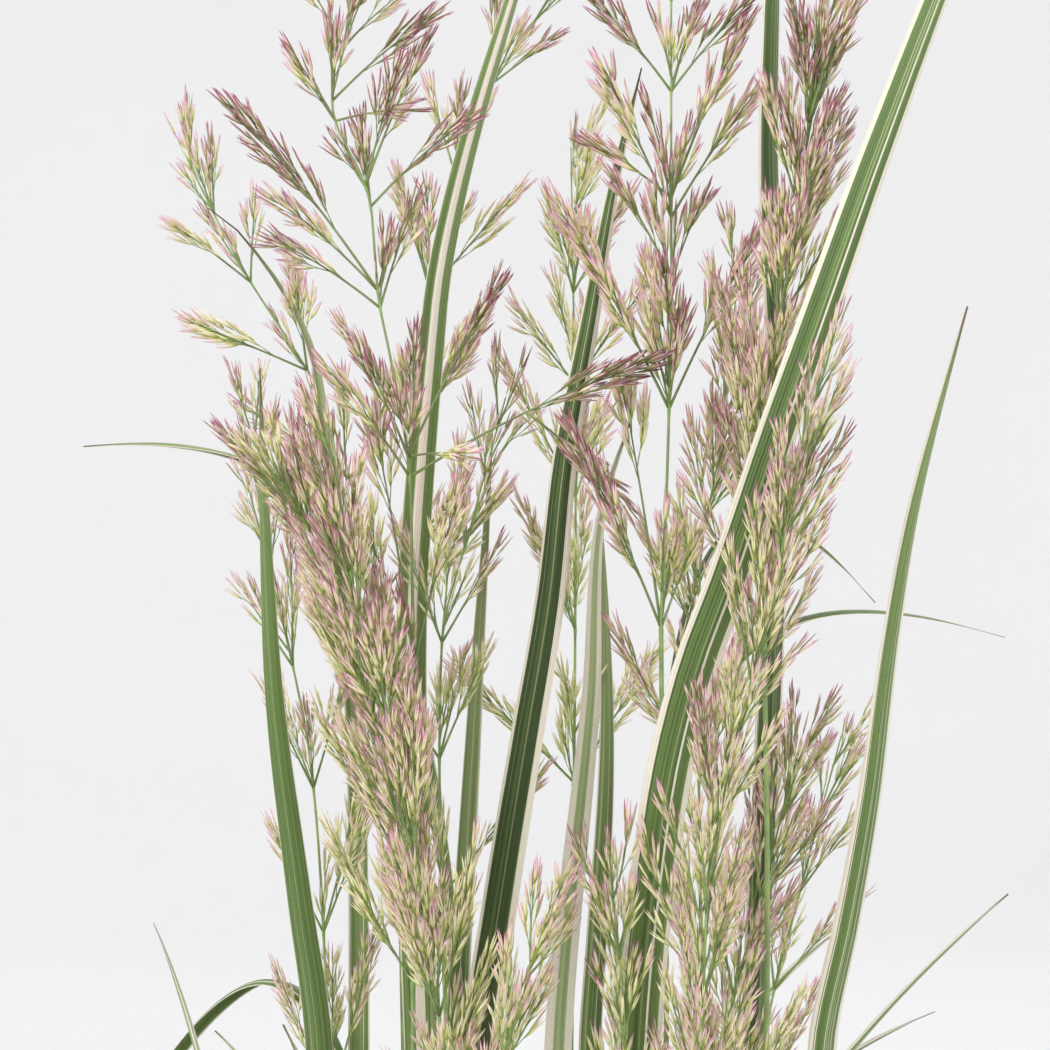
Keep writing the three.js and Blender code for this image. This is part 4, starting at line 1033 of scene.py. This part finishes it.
margins = net.math("MAXIMUM", band(place, net.mark("left")), band(opposite, net.mark("right")))
middle = band(net.math("ABSOLUTE", net.minus(place, 0.5)),
              net.minus(net.times(net.mark("heart"), 0.5), 0.02))
line_place = net.vector(net.times(place, 17.0), net.times(along, 0.8), seed)
line_noise = net.noise(line_place, 1.0, 1.0)
line_edge = net.minus(0.76, net.times(net.mark("stripes"), 0.3))
stripes = net.ease(line_noise, line_edge, net.plus(line_edge, 0.05))
pale = net.math("MAXIMUM", net.math("MAXIMUM", margins, middle), stripes)

tone = net.plus(net.mark("tone"), net.scale(streak, 0.3, -0.15))
# painted light: the green is paler over the last quarter of a blade, against the shade on its thin
# tip
tone = net.plus(tone, net.times(net.ease(along, 0.75, 1.0), 0.35))
green = net.ramp(tone, (0.0, GREEN_DARK), (0.45, GREEN_MID), (1.0, GREEN_PALE))
midrib = net.ease(net.math("ABSOLUTE", net.minus(across, 0.5)), 0.035, 0.0)
green = net.mix(net.times(midrib, 0.45), green, GREEN_PALE)
flush_place = net.vector(across, net.times(along, 6.0), seed)
flush = mottled(net, flush_place, 1.2, 0.5)
cream = net.mix(net.times(flush, net.mark("flush")), CREAM, ROSE)
cream = net.mix(net.times(streak, 0.25), cream, GREEN_PALE)
surface = net.mix(pale, green, cream)
dried = net.ease(net.plus(along, net.times(streak, 0.02)), 0.98, 1.01)
surface = net.mix(dried, surface, DRY)
roughness = net.scale(streak, 0.14, 0.4)
blade_finish = finish(
    relief=net.plus(rib, net.times(streak, 0.5)), relief_depth=0.00007,
    Base_Color=surface, Roughness=roughness, Specular_IOR_Level=0.4)

# %% [markdown]
# ### Sheaths and stalks
#
# A sheath is a rolled-up leaf, so it has the same ribs, in a paler green with a cream side. A
# stalk is smooth and browns as its plume ripens, with a brighter knot at each whorl.

# %% Finish the sheaths and stalks
net, finish = new_finish("leaf sheath")
across, along, seed = map(net.mark, ("across", "along", "seed"))
rib, streak = veined(net, across, net.times(along, 4.0), 7.0, seed)
patch = mottled(net, net.here(), 28.0, 0.6)
green = net.ramp(
    net.plus(net.times(streak, 0.7), net.times(patch, 0.3)),
    (0.0, "#6a8548"), (0.55, "#90a568"), (1.0, "#bac296"))
cream_side = net.ease(net.plus(across, net.times(streak, 0.15)), 0.8, 0.95)
green = net.mix(cream_side, green, CREAM)
green = net.mix(net.mark("knot"), green, "#6b7d36")
foot = net.ease(along, 0.35, 0.0)
green = net.mix(net.times(foot, 0.7), green, "#8a6f55")
sheath_finish = finish(
    relief=rib, relief_depth=0.00006,
    Base_Color=green, Roughness=net.scale(streak, 0.15, 0.42), Specular_IOR_Level=0.4)

net, finish = new_finish("plume stalk")
patch = mottled(net, net.here(), 160.0, 0.5)
green = net.ramp(net.scale(patch, 0.4, net.times(net.mark("blush"), 0.4)),
                 (0.0, "#abc46c"), (0.35, "#80985f"), (1.0, "#7c6650"))
green = net.mix(net.times(net.mark("knot"), 0.5), green, "#8db04e")
stalk_finish = finish(
    relief=patch, relief_depth=0.00003,
    Base_Color=green, Roughness=net.scale(patch, 0.2, 0.4))

# %% [markdown]
# ### Spikelets
#
# A bract has three ages, and its blush says how far it is through them: young it is green to
# cream, then rosy with a pink end, and ripe it is olive to purple. Its papery edges are pale at
# any age and are painted nearly white as well, a painted highlight which is what makes a plume
# glisten.

# %% Finish the spikelets
net, finish = new_finish("spikelet")
along, rim, tint = map(net.mark, ("along", "rim", "blush"))
rib, streak = veined(net, rim, net.times(along, 0.6), 2.0, net.mark("seed"))
reach = net.plus(along, net.scale(streak, 0.24, -0.12))
young = net.ramp(reach, (0.0, "#bed468"), (0.4, "#ecec9c"), (0.75, "#f8eec4"), (1.0, "#e6bcba"))
rosy = net.ramp(reach, (0.0, "#bccf6c"), (0.3, "#eee39c"), (0.6, "#f2c0c6"), (1.0, "#d881b4"))
ripe = net.ramp(reach, (0.0, "#8a9850"), (0.28, "#9f9160"), (0.55, "#a4606a"), (1.0, "#a64c7a"))
bract = net.mix(net.ease(tint, 0.0, 0.5), young, rosy)
bract = net.mix(net.ease(tint, 0.5, 1.0), bract, ripe)
# the pale papery rims of the bracts, painted near white as well as a painted highlight
papery_rim_and_highlight = net.times(net.ease(rim, 0.45, 1.0), net.scale(streak, 0.6, 0.4))
bract = net.mix(papery_rim_and_highlight, bract, "#fdf5e4")
spikelet_finish = finish(
    relief=rib, relief_depth=0.00003,
    Base_Color=bract, Roughness=net.scale(streak, 0.2, 0.42), Specular_IOR_Level=0.35)

# %% [markdown]
# ## The plumes
#
# Up close, a plume's branch is a small tree. Branchlets leave it on alternate sides, the
# longest nearest its foot, and each carries spikelets along its outer half and one at its end.
# The CAD plume has thick spikes in place of them, and takes up the same room.

# %% Plant spikelets along a twig
SPIKELET_LENGTH = 6.1
SPIKELET_SPACING = 1.35
BRANCHLET_SPACING = 2.5
LONGEST_BRANCHLET = 11
BRANCH_RADII = (0.24, 0.11)
BRANCHLET_RADII = (0.13, 0.09)
GOLDEN_ANGLE = 137.5
PLAIN_SIZE = 0.86  # how large the spikelets are where a culm has no `size`
BLUSH_UP_PLUME = (-0.3, 0.16)  # what the blush gains at a plume's foot and at its tip
BLUSH_UP_BRANCH = (-0.16, 0.24)
BRANCH_BLUSH = 0.34  # how far a whole branch may differ, and then one spikelet
SPIKELET_BLUSH = 0.22


class Tuft:
    """Collects where a plume's spikelets stand, then copies them all at once."""

    def __init__(self, culm):
        self.key, self.blush, self.size = culm["key"], culm["blush"], culm.get("size", PLAIN_SIZE)
        self.low, self.high = culm["plume"]["foot"], culm["plume"]["tip"]
        self.mood, self.rows = 0, []

    def plant(self, foot, direction, side):
        """Notes one spikelet: its axes and place, how it parts, its tint and its seed."""
        n = len(self.rows)
        long = SPIKELET_LENGTH * self.size * between(0.78, 1.12, self.key, n, 51)
        plump = long * self.size * between(0.95, 1.25, self.key, n, 52)
        parting = long * lerp(0.01, 0.12, chance(self.key, n, 53) ** 2.5)
        z = unit(direction)
        y = across_from(side, z)
        axes = np.column_stack([np.cross(y, z) * plump, y * plump, z * long])
        place = foot + z * PEDICEL * long
        ripeness = lerp(*BLUSH_UP_PLUME, (foot[2] - self.low) / (self.high - self.low))
        tint = self.blush + self.mood + ripeness
        tint += between(-SPIKELET_BLUSH, SPIKELET_BLUSH, self.key, n, 54)
        seed = chance(self.key, n, 55) * 50
        self.rows.append((axes, place, y * parting, np.clip(tint, 0, 1), seed))

    def add_to(self, piece):
        axes, places, partings, tints, seeds = map(np.array, zip(*self.rows))
        count, each = len(self.rows), len(spikelet_points)
        points = np.einsum("nij,pj->npi", axes, spikelet_points) + places[:, None]
        points += partings[:, None] * spikelet_parting[None, :, None]
        faces = spikelet_faces[None] + np.arange(count)[:, None, None] * each
        piece.add(points.reshape(-1, 3), faces.reshape(-1, 3), 1,
                  along=np.tile(spikelet_along, count), rim=np.tile(spikelet_rim, count),
                  blush=np.repeat(tints, each), seed=np.repeat(seeds, each))


def sideways(along, turn):
    """A direction square to `along`, turned round it by some degrees."""
    level = across_from(np.eye(3)[np.argmin(np.abs(along))], along)
    angle = math.radians(turn)
    return level * math.cos(angle) + np.cross(along, level) * math.sin(angle)


def add_twig(piece, sides, points, thick, thin, blush, knots=None):
    radii = np.linspace(thick, thin, len(points))
    place, faces, _, ring = bend_rod(sides, points, radii)
    knot = 0 if knots is None else np.asarray(knots)[ring]
    piece.add(place, faces, 0, blush=blush, knot=knot)


def add_branchlet(piece, tuft, key, foot, along, out, reach):
    lean = between(10, 22, *key, 61)
    middle = foot + leaning(along, out, lean) * reach * 0.5
    line = Bezier(foot, middle, foot + leaning(along, out, lean * 0.75) * reach)
    add_twig(piece, 3, line.point(np.linspace(0, 1, 4)), *BRANCHLET_RADII, tuft.blush)
    count = max(1, round(reach * 0.85 / SPIKELET_SPACING))
    for i in range(count):
        t = 1 - i * SPIKELET_SPACING / reach
        if t < 0.15:
            break
        tangent = line.tangent(t)
        turn = sideways(tangent, 180 * i + between(-60, 60, *key, 62 + i))
        spread = between(*((6, 20) if i else (0, 6)), *key, 72 + i)
        tuft.plant(line.point(t), leaning(tangent, turn, spread), turn)


def add_branch(piece, tuft, key, line, bare):
    """A branch with its branchlets, from where its bare part ends, rosier towards its tip."""
    length = line.length()
    at_foot, at_tip = between(-BRANCH_BLUSH, BRANCH_BLUSH, *key, 98) + np.array(BLUSH_UP_BRANCH)
    thick, thin = BRANCH_RADII
    add_twig(piece, 4, line.point(np.linspace(0, 1, 9)), thick + length * 0.0015, thin,
             tuft.blush, knots=[0.9, 0.2, 0, 0, 0, 0, 0, 0, 0])
    tuft.mood = at_tip
    tuft.plant(line.point(1.0), line.tangent(1.0), sideways(line.tangent(1.0), 90))
    start = bare * length
    distance, i = start, 0
    turn = 360 * chance(*key, 81)
    while distance < length - 1.2:
        left = (length - distance) / (length - start)
        reach = (0.26 * length * left + 1.6) * between(0.7, 1.2, *key, 82 + i)
        t = distance / length
        along = line.tangent(t)
        out = sideways(along, turn + i * GOLDEN_ANGLE)
        tuft.mood = lerp(at_tip, at_foot, left)
        reach = min(reach, LONGEST_BRANCHLET)
        add_branchlet(piece, tuft, (*key, 100 + i), line.point(t), along, out, reach)
        distance += BRANCHLET_SPACING * between(0.75, 1.2, *key, 92 + i) * (0.5 + 0.5 * left)
        i += 1


# %% [markdown]
# A plume is its stalk, the long branches that the CAD plume has too, and short ones between
# them at each whorl. The stalk is a rod that swells into a knot at every whorl.

# %% Make the plumes
STALK_SOCKET = 14
SEAT_GAP = 0.3
KNOT_RINGS = (-1.7, -0.8, -0.2, 0.4, 1.3)  # heights of a stalk's rings about each whorl
KNOT_SWELL = 0.35
SHORT_BRANCHES = 2  # at each whorl, where a culm has no `short`
SHORT_REACH = 13
SHORT_SWING = 18
FULL_BARE = 0.35  # a full plume's long branches are bare for this share of the usual


def stalk_radius(plume, top, z):
    """Thins up the bare stalk and again through the head."""
    low = lerp(STALK_RADIUS, 0.47, ease(z, top, plume["foot"]))
    share = np.clip((z - plume["foot"]) / (plume["tip"] - plume["foot"]), 0, 1)
    high = lerp(1, lerp(0.7, 0.34, share), ease(z, plume["foot"] - 1, plume["foot"] + 1))
    return low * high


def make_plume(culm):
    """Makes a plume and gives back the number of its spikelets."""
    plume, stem, key = culm["plume"], culm["stem"], culm["key"]
    piece, tuft = Piece(f"panicle_{key + 1:02d}"), Tuft(culm)
    foot = culm["top"] - STALK_SOCKET + SEAT_GAP
    whorls = np.array(whorl_heights(plume))
    rings = [np.linspace(foot, plume["tip"], 42), *(whorls + step for step in KNOT_RINGS)]
    heights = np.unique(np.concatenate(rings).round(2))
    heights = heights[heights <= plume["tip"]]
    knot = np.exp(-((heights[:, None] - whorls[None] + 0.2) / 0.7) ** 2).max(axis=1)
    radii = stalk_radius(plume, culm["top"], heights) * (1 + KNOT_SWELL * knot)
    place, faces, _, ring = bend_rod(8, stem.at(heights), radii)
    piece.add(place, faces, 0, blush=tuft.blush * 0.5, knot=knot[ring])
    tuft.plant(stem.at(plume["tip"]), stem.heading(plume["tip"]), np.array([0, 1.0, 0]))

    count = culm.get("short", SHORT_BRANCHES)
    for i, branch in enumerate(culm["branches"]):
        bare = branch["bare"] * (FULL_BARE if count > SHORT_BRANCHES else 1)
        add_branch(piece, tuft, (key, 200 + i), branch["line"], bare)
    gaps = np.diff([*whorls, plume["tip"]])
    for i, (z, gap) in enumerate(zip(whorls, gaps)):
        share = (z - plume["foot"]) / (plume["tip"] - plume["foot"])
        reach = SHORT_REACH + 2 * count
        for j in range(count if share < 0.85 else 1):
            length = between(0.5, 1.1, key, 300 + i, j) * reach * (1 - 0.35 * share)
            heading = plume["turn"] + i * WHORL_TURN + 60 + j * 360 / count
            heading += between(-30, 30, key, 320 + i, j)
            spread = between(9, 36 - 2 * count, key, 340 + i, j)
            line = swung(stem, z + gap * 0.16 * (j % 5), heading, length, spread, SHORT_SWING)
            add_branch(piece, tuft, (key, 360 + 12 * i + j), line, BARE / 2)
    tuft.add_to(piece)
    settle(piece.make([stalk_finish, spikelet_finish]), f"plume_{key + 1:02d}")
    return len(tuft.rows)


print("spikelets on each plume", [make_plume(culm) for culm in CULMS])

# %% [markdown]
# ## Stems, sheaths and blades
#
# A culm is a jointed straw inside its sheaths. Each sheath starts at a joint, which shows as a
# slight ring, and ends at the collar where its blade stands off. So the rod that makes a stem
# swells a little at the joints and up to each collar, and steps in above it.

# %% Make the stems and shoots
JOINT_BELOW_COLLAR = 96
COLLAR_RINGS = (-9, -4, -1, -0.2, 0.6, 2)  # heights of a stem's rings about each collar
JOINT_RINGS = (-2.4, -1.2, -0.5, 0, 0.5, 1.2, 2.4)
COLLAR_SWELL = 0.3
JOINT_SWELL = 0.35


def stem_profile(plant):
    """Heights up a stem, its radius at each, and how much of a joint each is."""
    low, top = SOIL_LEVEL - ROOT_DEPTH, plant["top"]
    collars = np.array(sorted(blade["collar"] for blade in plant["blades"]))
    joints = collars - JOINT_BELOW_COLLAR
    rings = [np.linspace(low, top, 34), (top - 3, top - 1.2)]
    rings += [collars + step for step in COLLAR_RINGS]
    rings += [joints + step for step in JOINT_RINGS]
    heights = np.unique(np.concatenate(rings).round(2))
    heights = heights[(heights >= low) & (heights <= top)]
    radii = lerp(SHEATH_FOOT, SHEATH_TOP, (heights - low) / (top - low))
    below = collars[None] - heights[:, None]
    radii = radii + np.where(below >= 0, COLLAR_SWELL * ease(below, 40, 0), 0).max(axis=1)
    joint = np.exp(-((heights[:, None] - joints[None]) / 1.1) ** 2).max(axis=1)
    radii = (radii + JOINT_SWELL * joint) * lerp(1, 0.5, ease(heights, top - 3, top))
    return heights, radii, joint


def blade_marks(blade):
    """What the blade's finish reads: its look, listed or drawn, and two draws of its own."""
    key = blade["key"]
    if "look" in blade:
        left, right, heart, stripes, tone = blade["look"]
    else:
        left, right = between(0.03, 0.2, *key, 41), between(0.03, 0.2, *key, 42)
        heart = 0.3 if chance(*key, 43) < 0.18 else 0
        stripes, tone = between(0.1, 0.8, *key, 44), between(0.1, 0.75, *key, 45)
    return dict(left=left, right=right, heart=heart, stripes=stripes, tone=tone,
                flush=between(0.1, 0.9, *key, 46), seed=40 * chance(*key, 47))


def make_leafy(plant, name, replaced):
    """One piece of a sheathed stem and its blades."""
    piece = Piece(name)
    heights, radii, joint = stem_profile(plant)
    place, faces, round_share, ring = bend_rod(10, plant["stem"].at(heights), radii)
    piece.add(place, faces, 1, across=round_share, along=(heights[ring] - SOIL_LEVEL) / 100,
              knot=0.8 * joint[ring], seed=plant["key"] * 3.7)
    for blade in plant["blades"]:
        fine = "look" in blade
        points, faces, across, along = bend_blade(blade, 12 if fine else 8, 96 if fine else 40)
        piece.add(points, faces, 0, across=across, along=along, **blade_marks(blade))
    settle(piece.make([blade_finish, sheath_finish]), replaced, 60)


for i, culm in enumerate(CULMS, 1):
    make_leafy(culm, f"culm_{i:02d}", f"stem_{i:02d}")
for i, shoot in enumerate(SHOOTS, 1):
    make_leafy(shoot, f"leafy_shoot_{i:02d}", f"shoot_{i:02d}")

# %% [markdown]
# ## The pot and its soil
#
# Fired clay is pale orange and uneven, with a bloom of lime near its rim, and it is darker
# towards its foot. Soil is darker still. Both take their patches and their grain from the object's
# own space, at two scales of the same mottle.

# %% Finish the clay and the soil
net, finish = new_finish("fired clay")
here = net.here()
patch = mottled(net, here, 14.0, 0.6)
grain = mottled(net, here, 900.0, 0.5)
height = net.node("ShaderNodeSeparateXYZ", here, output=2)
clay = net.mix(patch, "#b46c49", "#c98a66")
clay = net.mix(net.times(grain, 0.3), clay, "#9a5a3d")
limed = net.ease(net.plus(height, net.times(patch, 0.05)), 0.165, 0.21)
clay = net.mix(net.times(limed, net.scale(grain, 0.35, 0.15)), clay, "#dcc9b6")
# darker towards the bottom of the pot
darker_foot = net.ease(net.plus(height, net.times(patch, 0.04)), 0.045, 0.015)
clay = net.mix(net.times(darker_foot, 0.35), clay, "#8c4f36")
clay_finish = finish(
    relief=net.plus(grain, patch), relief_depth=0.00012,
    Base_Color=clay, Roughness=net.scale(patch, 0.12, 0.78), Specular_IOR_Level=0.3)

net, finish = new_finish("potting soil")
here = net.here()
patch = mottled(net, here, 60.0, 0.5)
grain = mottled(net, here, 700.0, 0.6)
earth = net.mix(patch, "#2e221a", "#4b3a2c")
earth = net.mix(net.times(grain, 0.4), earth, "#6a5541")
earth = net.mix(net.mark("pale"), earth, "#d8d2c4")
soil_finish = finish(
    relief=net.plus(grain, patch), relief_depth=0.0004,
    Base_Color=earth, Roughness=net.scale(grain, 0.1, 0.88), Specular_IOR_Level=0.2)

# %% [markdown]
# The pot is thrown clay: round, with a thicker band under its lip, faint throwing rings on its
# wall and every edge worn soft. Its section is drawn as an outline and spun once round the
# middle, as on the wheel.

# %% Spin the pot
POT_HEIGHT = 190
POT_FOOT_RADIUS = 76
POT_RIM_RADIUS = 118
POT_WALL = 8
RIM_BAND = 36
RIM_STEP = 5
LIP_RADIUS = 4
THROWING_RINGS = 0.25


def wall_radius(z):
    return lerp(POT_FOOT_RADIUS, POT_RIM_RADIUS - RIM_STEP, z / POT_HEIGHT)


def pot_section():
    """The section of the pot's wall as (radius, height), from the middle of its foot round to
    the middle of its floor."""
    band = POT_HEIGHT - RIM_BAND
    under, shoulder = wall_radius(band), wall_radius(band) + RIM_STEP
    lip, lip_height = POT_RIM_RADIUS - LIP_RADIUS, POT_HEIGHT - LIP_RADIUS
    inside = wall_radius(POT_HEIGHT) - POT_WALL
    return [
        (0, 0), (POT_FOOT_RADIUS - 3, 0), (POT_FOOT_RADIUS - 0.8, 0.7), (wall_radius(2.4), 2.4),
        *[(wall_radius(z) - THROWING_RINGS * (1 - math.sin(z * 0.9)), z)
          for z in np.linspace(5, band - 5, 56)],
        (under - 0.3, band - 2), (under + 0.6, band - 0.6),
        (shoulder - 1.6, band + 0.2), (shoulder - 0.6, band + 1.6),
        *[(lerp(shoulder - 0.5, POT_RIM_RADIUS, share), lerp(band + 3, lip_height, share))
          for share in np.linspace(0, 0.9, 6)],
        *[(lip + LIP_RADIUS * math.cos(angle), lip_height + LIP_RADIUS * math.sin(angle))
          for angle in np.linspace(0, math.pi / 2, 7)],
        (inside + 3, POT_HEIGHT), (inside + 1, POT_HEIGHT - 1.2), (inside, lip_height),
        (wall_radius(POT_WALL + 6) - POT_WALL, POT_WALL + 6),
        (wall_radius(POT_WALL) - POT_WALL - 5, POT_WALL),
        (0, POT_WALL),
    ]


def spun(name, section, steps):
    """Draws a section with a vertex at each point and spins it round the middle."""
    start_edit(bpy.ops.mesh.primitive_plane_add, size=1)
    piece = bpy.context.object
    piece.name = name
    bpy.ops.mesh.merge(type="CENTER")
    bpy.ops.transform.translate(value=(section[0][0] * MM, 0, section[0][1] * MM))
    for (r, z), (next_r, next_z) in zip(section, section[1:]):
        draw_out(((next_r - r) * MM, 0, (next_z - z) * MM))
    bpy.ops.mesh.select_all(action="SELECT")
    bpy.ops.mesh.spin(steps=steps, angle=2 * math.pi, center=(0, 0, 0), axis=(0, 0, 1))
    bpy.ops.mesh.select_all(action="SELECT")
    bpy.ops.mesh.remove_doubles(threshold=0.00002)
    bpy.ops.mesh.normals_make_consistent(inside=False)
    bpy.ops.object.mode_set(mode="OBJECT")
    return piece


clay_pot = spun("clay_pot", pot_section(), 128)
clay_pot.data.materials.append(clay_finish)
settle(clay_pot, "pot", 45)
print("the pot has", len(clay_pot.data.vertices), "vertices")

# %% [markdown]
# The soil fills the pot to just under the lip. Its top is a low dome with lumps, and loose
# crumbs of bark, grit and pale perlite lie on it. One crumb is modelled, from a small
# icosphere, and each copy is squashed and turned its own way.

# %% Lay the soil
SOIL_DOME = 5
CRUMBS = 900
PERLITE_SHARE = 0.09


def soil_height(x, y):
    r = np.hypot(x, y) / wall_radius(SOIL_LEVEL)
    lumps = (np.sin(x * 0.19 + 1.3) * np.cos(y * 0.23 - 0.4)
             + 0.6 * np.sin((x + y) * 0.37) * np.sin((x - y) * 0.29))
    fine = 0.5 * np.sin(x * 0.9 + 2) * np.sin(y * 0.8) + 0.35 * np.sin(x * 1.9) * np.cos(y * 2.1 + 1)
    return SOIL_LEVEL - SOIL_DOME * r * r + (lumps + fine) * np.clip(4 * (1 - r), 0.2, 1)


def soil_section():
    """The section of the soil, with room for the pot round it and a level top to be shaped."""
    low, edge = POT_WALL + SEAT_GAP, SOIL_LEVEL - SOIL_DOME
    rim = wall_radius(edge) - POT_WALL - 0.8
    return [
        (0, low), (wall_radius(low) - POT_WALL - 5, low),
        (wall_radius(low + 6) - POT_WALL - 0.6, low + 6), (rim, edge - 2),
        *[(r, SOIL_LEVEL) for r in np.linspace(rim - 1.2, 0, 46)],
    ]


def crumb_copies():
    start_edit(bpy.ops.mesh.primitive_ico_sphere_add, subdivisions=1, radius=1)
    points, faces = take_shape()
    points = points * (1 + 0.25 * np.sin(np.arange(len(points)) * 2.4))[:, None]
    rim = wall_radius(SOIL_LEVEL) - POT_WALL - 4
    for i in range(CRUMBS):
        r, angle = rim * math.sqrt(chance(i, 1)), 2 * math.pi * chance(i, 2)
        x, y = r * math.cos(angle), r * math.sin(angle)
        size = between(0.5, 1.9, i, 3) ** 1.4 * 0.8
        turn = 2 * math.pi * chance(i, 4)
        low_high = ((0.8, 2.0), (0.6, 1.0), (0.35, 0.7))
        stretch = np.array([between(*limits, i, 5 + j) for j, limits in enumerate(low_high)]) * size
        c, s = math.cos(turn), math.sin(turn)
        spin = np.array([[c, -s, 0], [s, c, 0], [0, 0, 1]])
        place = (points * stretch) @ spin.T + (x, y, float(soil_height(x, y)) + 0.25 * size)
        yield place, faces, 0.9 if chance(i, 8) < PERLITE_SHARE else 0.0


bed = spun("soil_bed", soil_section(), 96)
bed_points = np.array([v.co for v in bed.data.vertices]) / MM
top = bed_points[:, 2] > SOIL_LEVEL - 0.5
bed_points[top, 2] = soil_height(bed_points[top, 0], bed_points[top, 1])
bpy.ops.object.mode_set(mode="EDIT")
bed_faces = take_shape()[1]
soil = Piece("potting_soil_bed")
soil.add(bed_points, bed_faces, 0, pale=0)
for place, faces, pale in crumb_copies():
    soil.add(place, faces, 0, pale=pale)
settle(soil.make([soil_finish]), "soil", 50)
print("the soil and its crumbs have", soil.count, "points")

# %% [markdown]
# ## The studio
#
# A pale floor runs up into a round wall without an edge, so no horizon shows behind the plant
# from any side. Near the plant the floor is painted greyer: painted shade against the bright pool of
# the lamps.

# %% Build the studio
FLOOR_RADIUS = 5.0
COVE = 2.0
WALL_TOP = 5.5

start_outline(96, FLOOR_RADIUS)
studio = bpy.context.object
studio.name = "studio_floor"
bpy.ops.mesh.select_mode(type="EDGE")
bpy.ops.mesh.select_all(action="SELECT")
bpy.ops.mesh.region_to_loop()
rings = [(FLOOR_RADIUS + COVE * math.sin(angle), COVE * (1 - math.cos(angle)))
         for angle in np.linspace(0, math.pi / 2, 13)]
rings.append((FLOOR_RADIUS + COVE, WALL_TOP))
for (radius, height), (next_radius, next_height) in zip(rings, rings[1:]):
    bpy.ops.mesh.extrude_edges_move(TRANSFORM_OT_translate={"value": (0, 0, next_height - height)})
    share = next_radius / radius
    bpy.ops.transform.resize(value=(share, share, 1), center_override=(0, 0, next_height))
bpy.ops.mesh.select_all(action="SELECT")
bpy.ops.mesh.normals_make_consistent(inside=True)
bpy.ops.object.mode_set(mode="OBJECT")
bpy.ops.object.shade_smooth()

net, finish = new_finish("studio paint")
soft = mottled(net, net.here(), 0.6, 0.8)
# painted shade: the floor near the plant is greyer, to dim the lamps' bright pool there
painted_shade_near = net.mix(soft, "#cacac9", "#cececd")
far = net.mix(soft, "#eeeeed", "#f2f2f1")
studio_finish = finish(
    Base_Color=net.mix(net.ease(net.distance(), 1.5, 5.5), painted_shade_near, far),
    Roughness=0.95, Specular_IOR_Level=0.1)
studio.data.materials.append(studio_finish)
print("the studio is", 2 * (FLOOR_RADIUS + COVE), "m across")

# %% [markdown]
# Soft light comes from a bright sky over the floor, a large lamp in front at the left, a weaker
# one at the right and one behind, which lights the bracts' papery edges.

# %% Light it
world = bpy.data.worlds.new("studio sky")
world.use_nodes = True
sky = world.node_tree.nodes["Background"].inputs
sky["Color"].default_value = paint("#fbfbff")
sky["Strength"].default_value = 1.03
bpy.context.scene.world = world
bpy.context.scene.view_settings.view_transform = "Standard"


def add_lamp(name, place, size, power, colour):
    bpy.ops.object.light_add(type="AREA", location=place)
    lamp = bpy.context.object
    lamp.name = name
    lamp.data.size, lamp.data.energy, lamp.data.color = size, power, colour
    away = np.array(place) - (0, 0, VIEW_AT[2] * MM)
    tilt = math.acos(away[2] / np.linalg.norm(away))
    lamp.rotation_euler = (tilt, 0, math.atan2(away[1], away[0]) + math.pi / 2)


add_lamp("key_light", (-2.0, -2.6, 3.0), 2.2, 90, (1.0, 0.985, 0.96))
add_lamp("fill_light", (2.6, -1.8, 1.8), 2.0, 30, (0.97, 0.985, 1.0))
add_lamp("back_light", (0.8, 3.0, 3.2), 2.4, 48, (1.0, 1.0, 1.0))
print("lamps", len(bpy.data.lights))
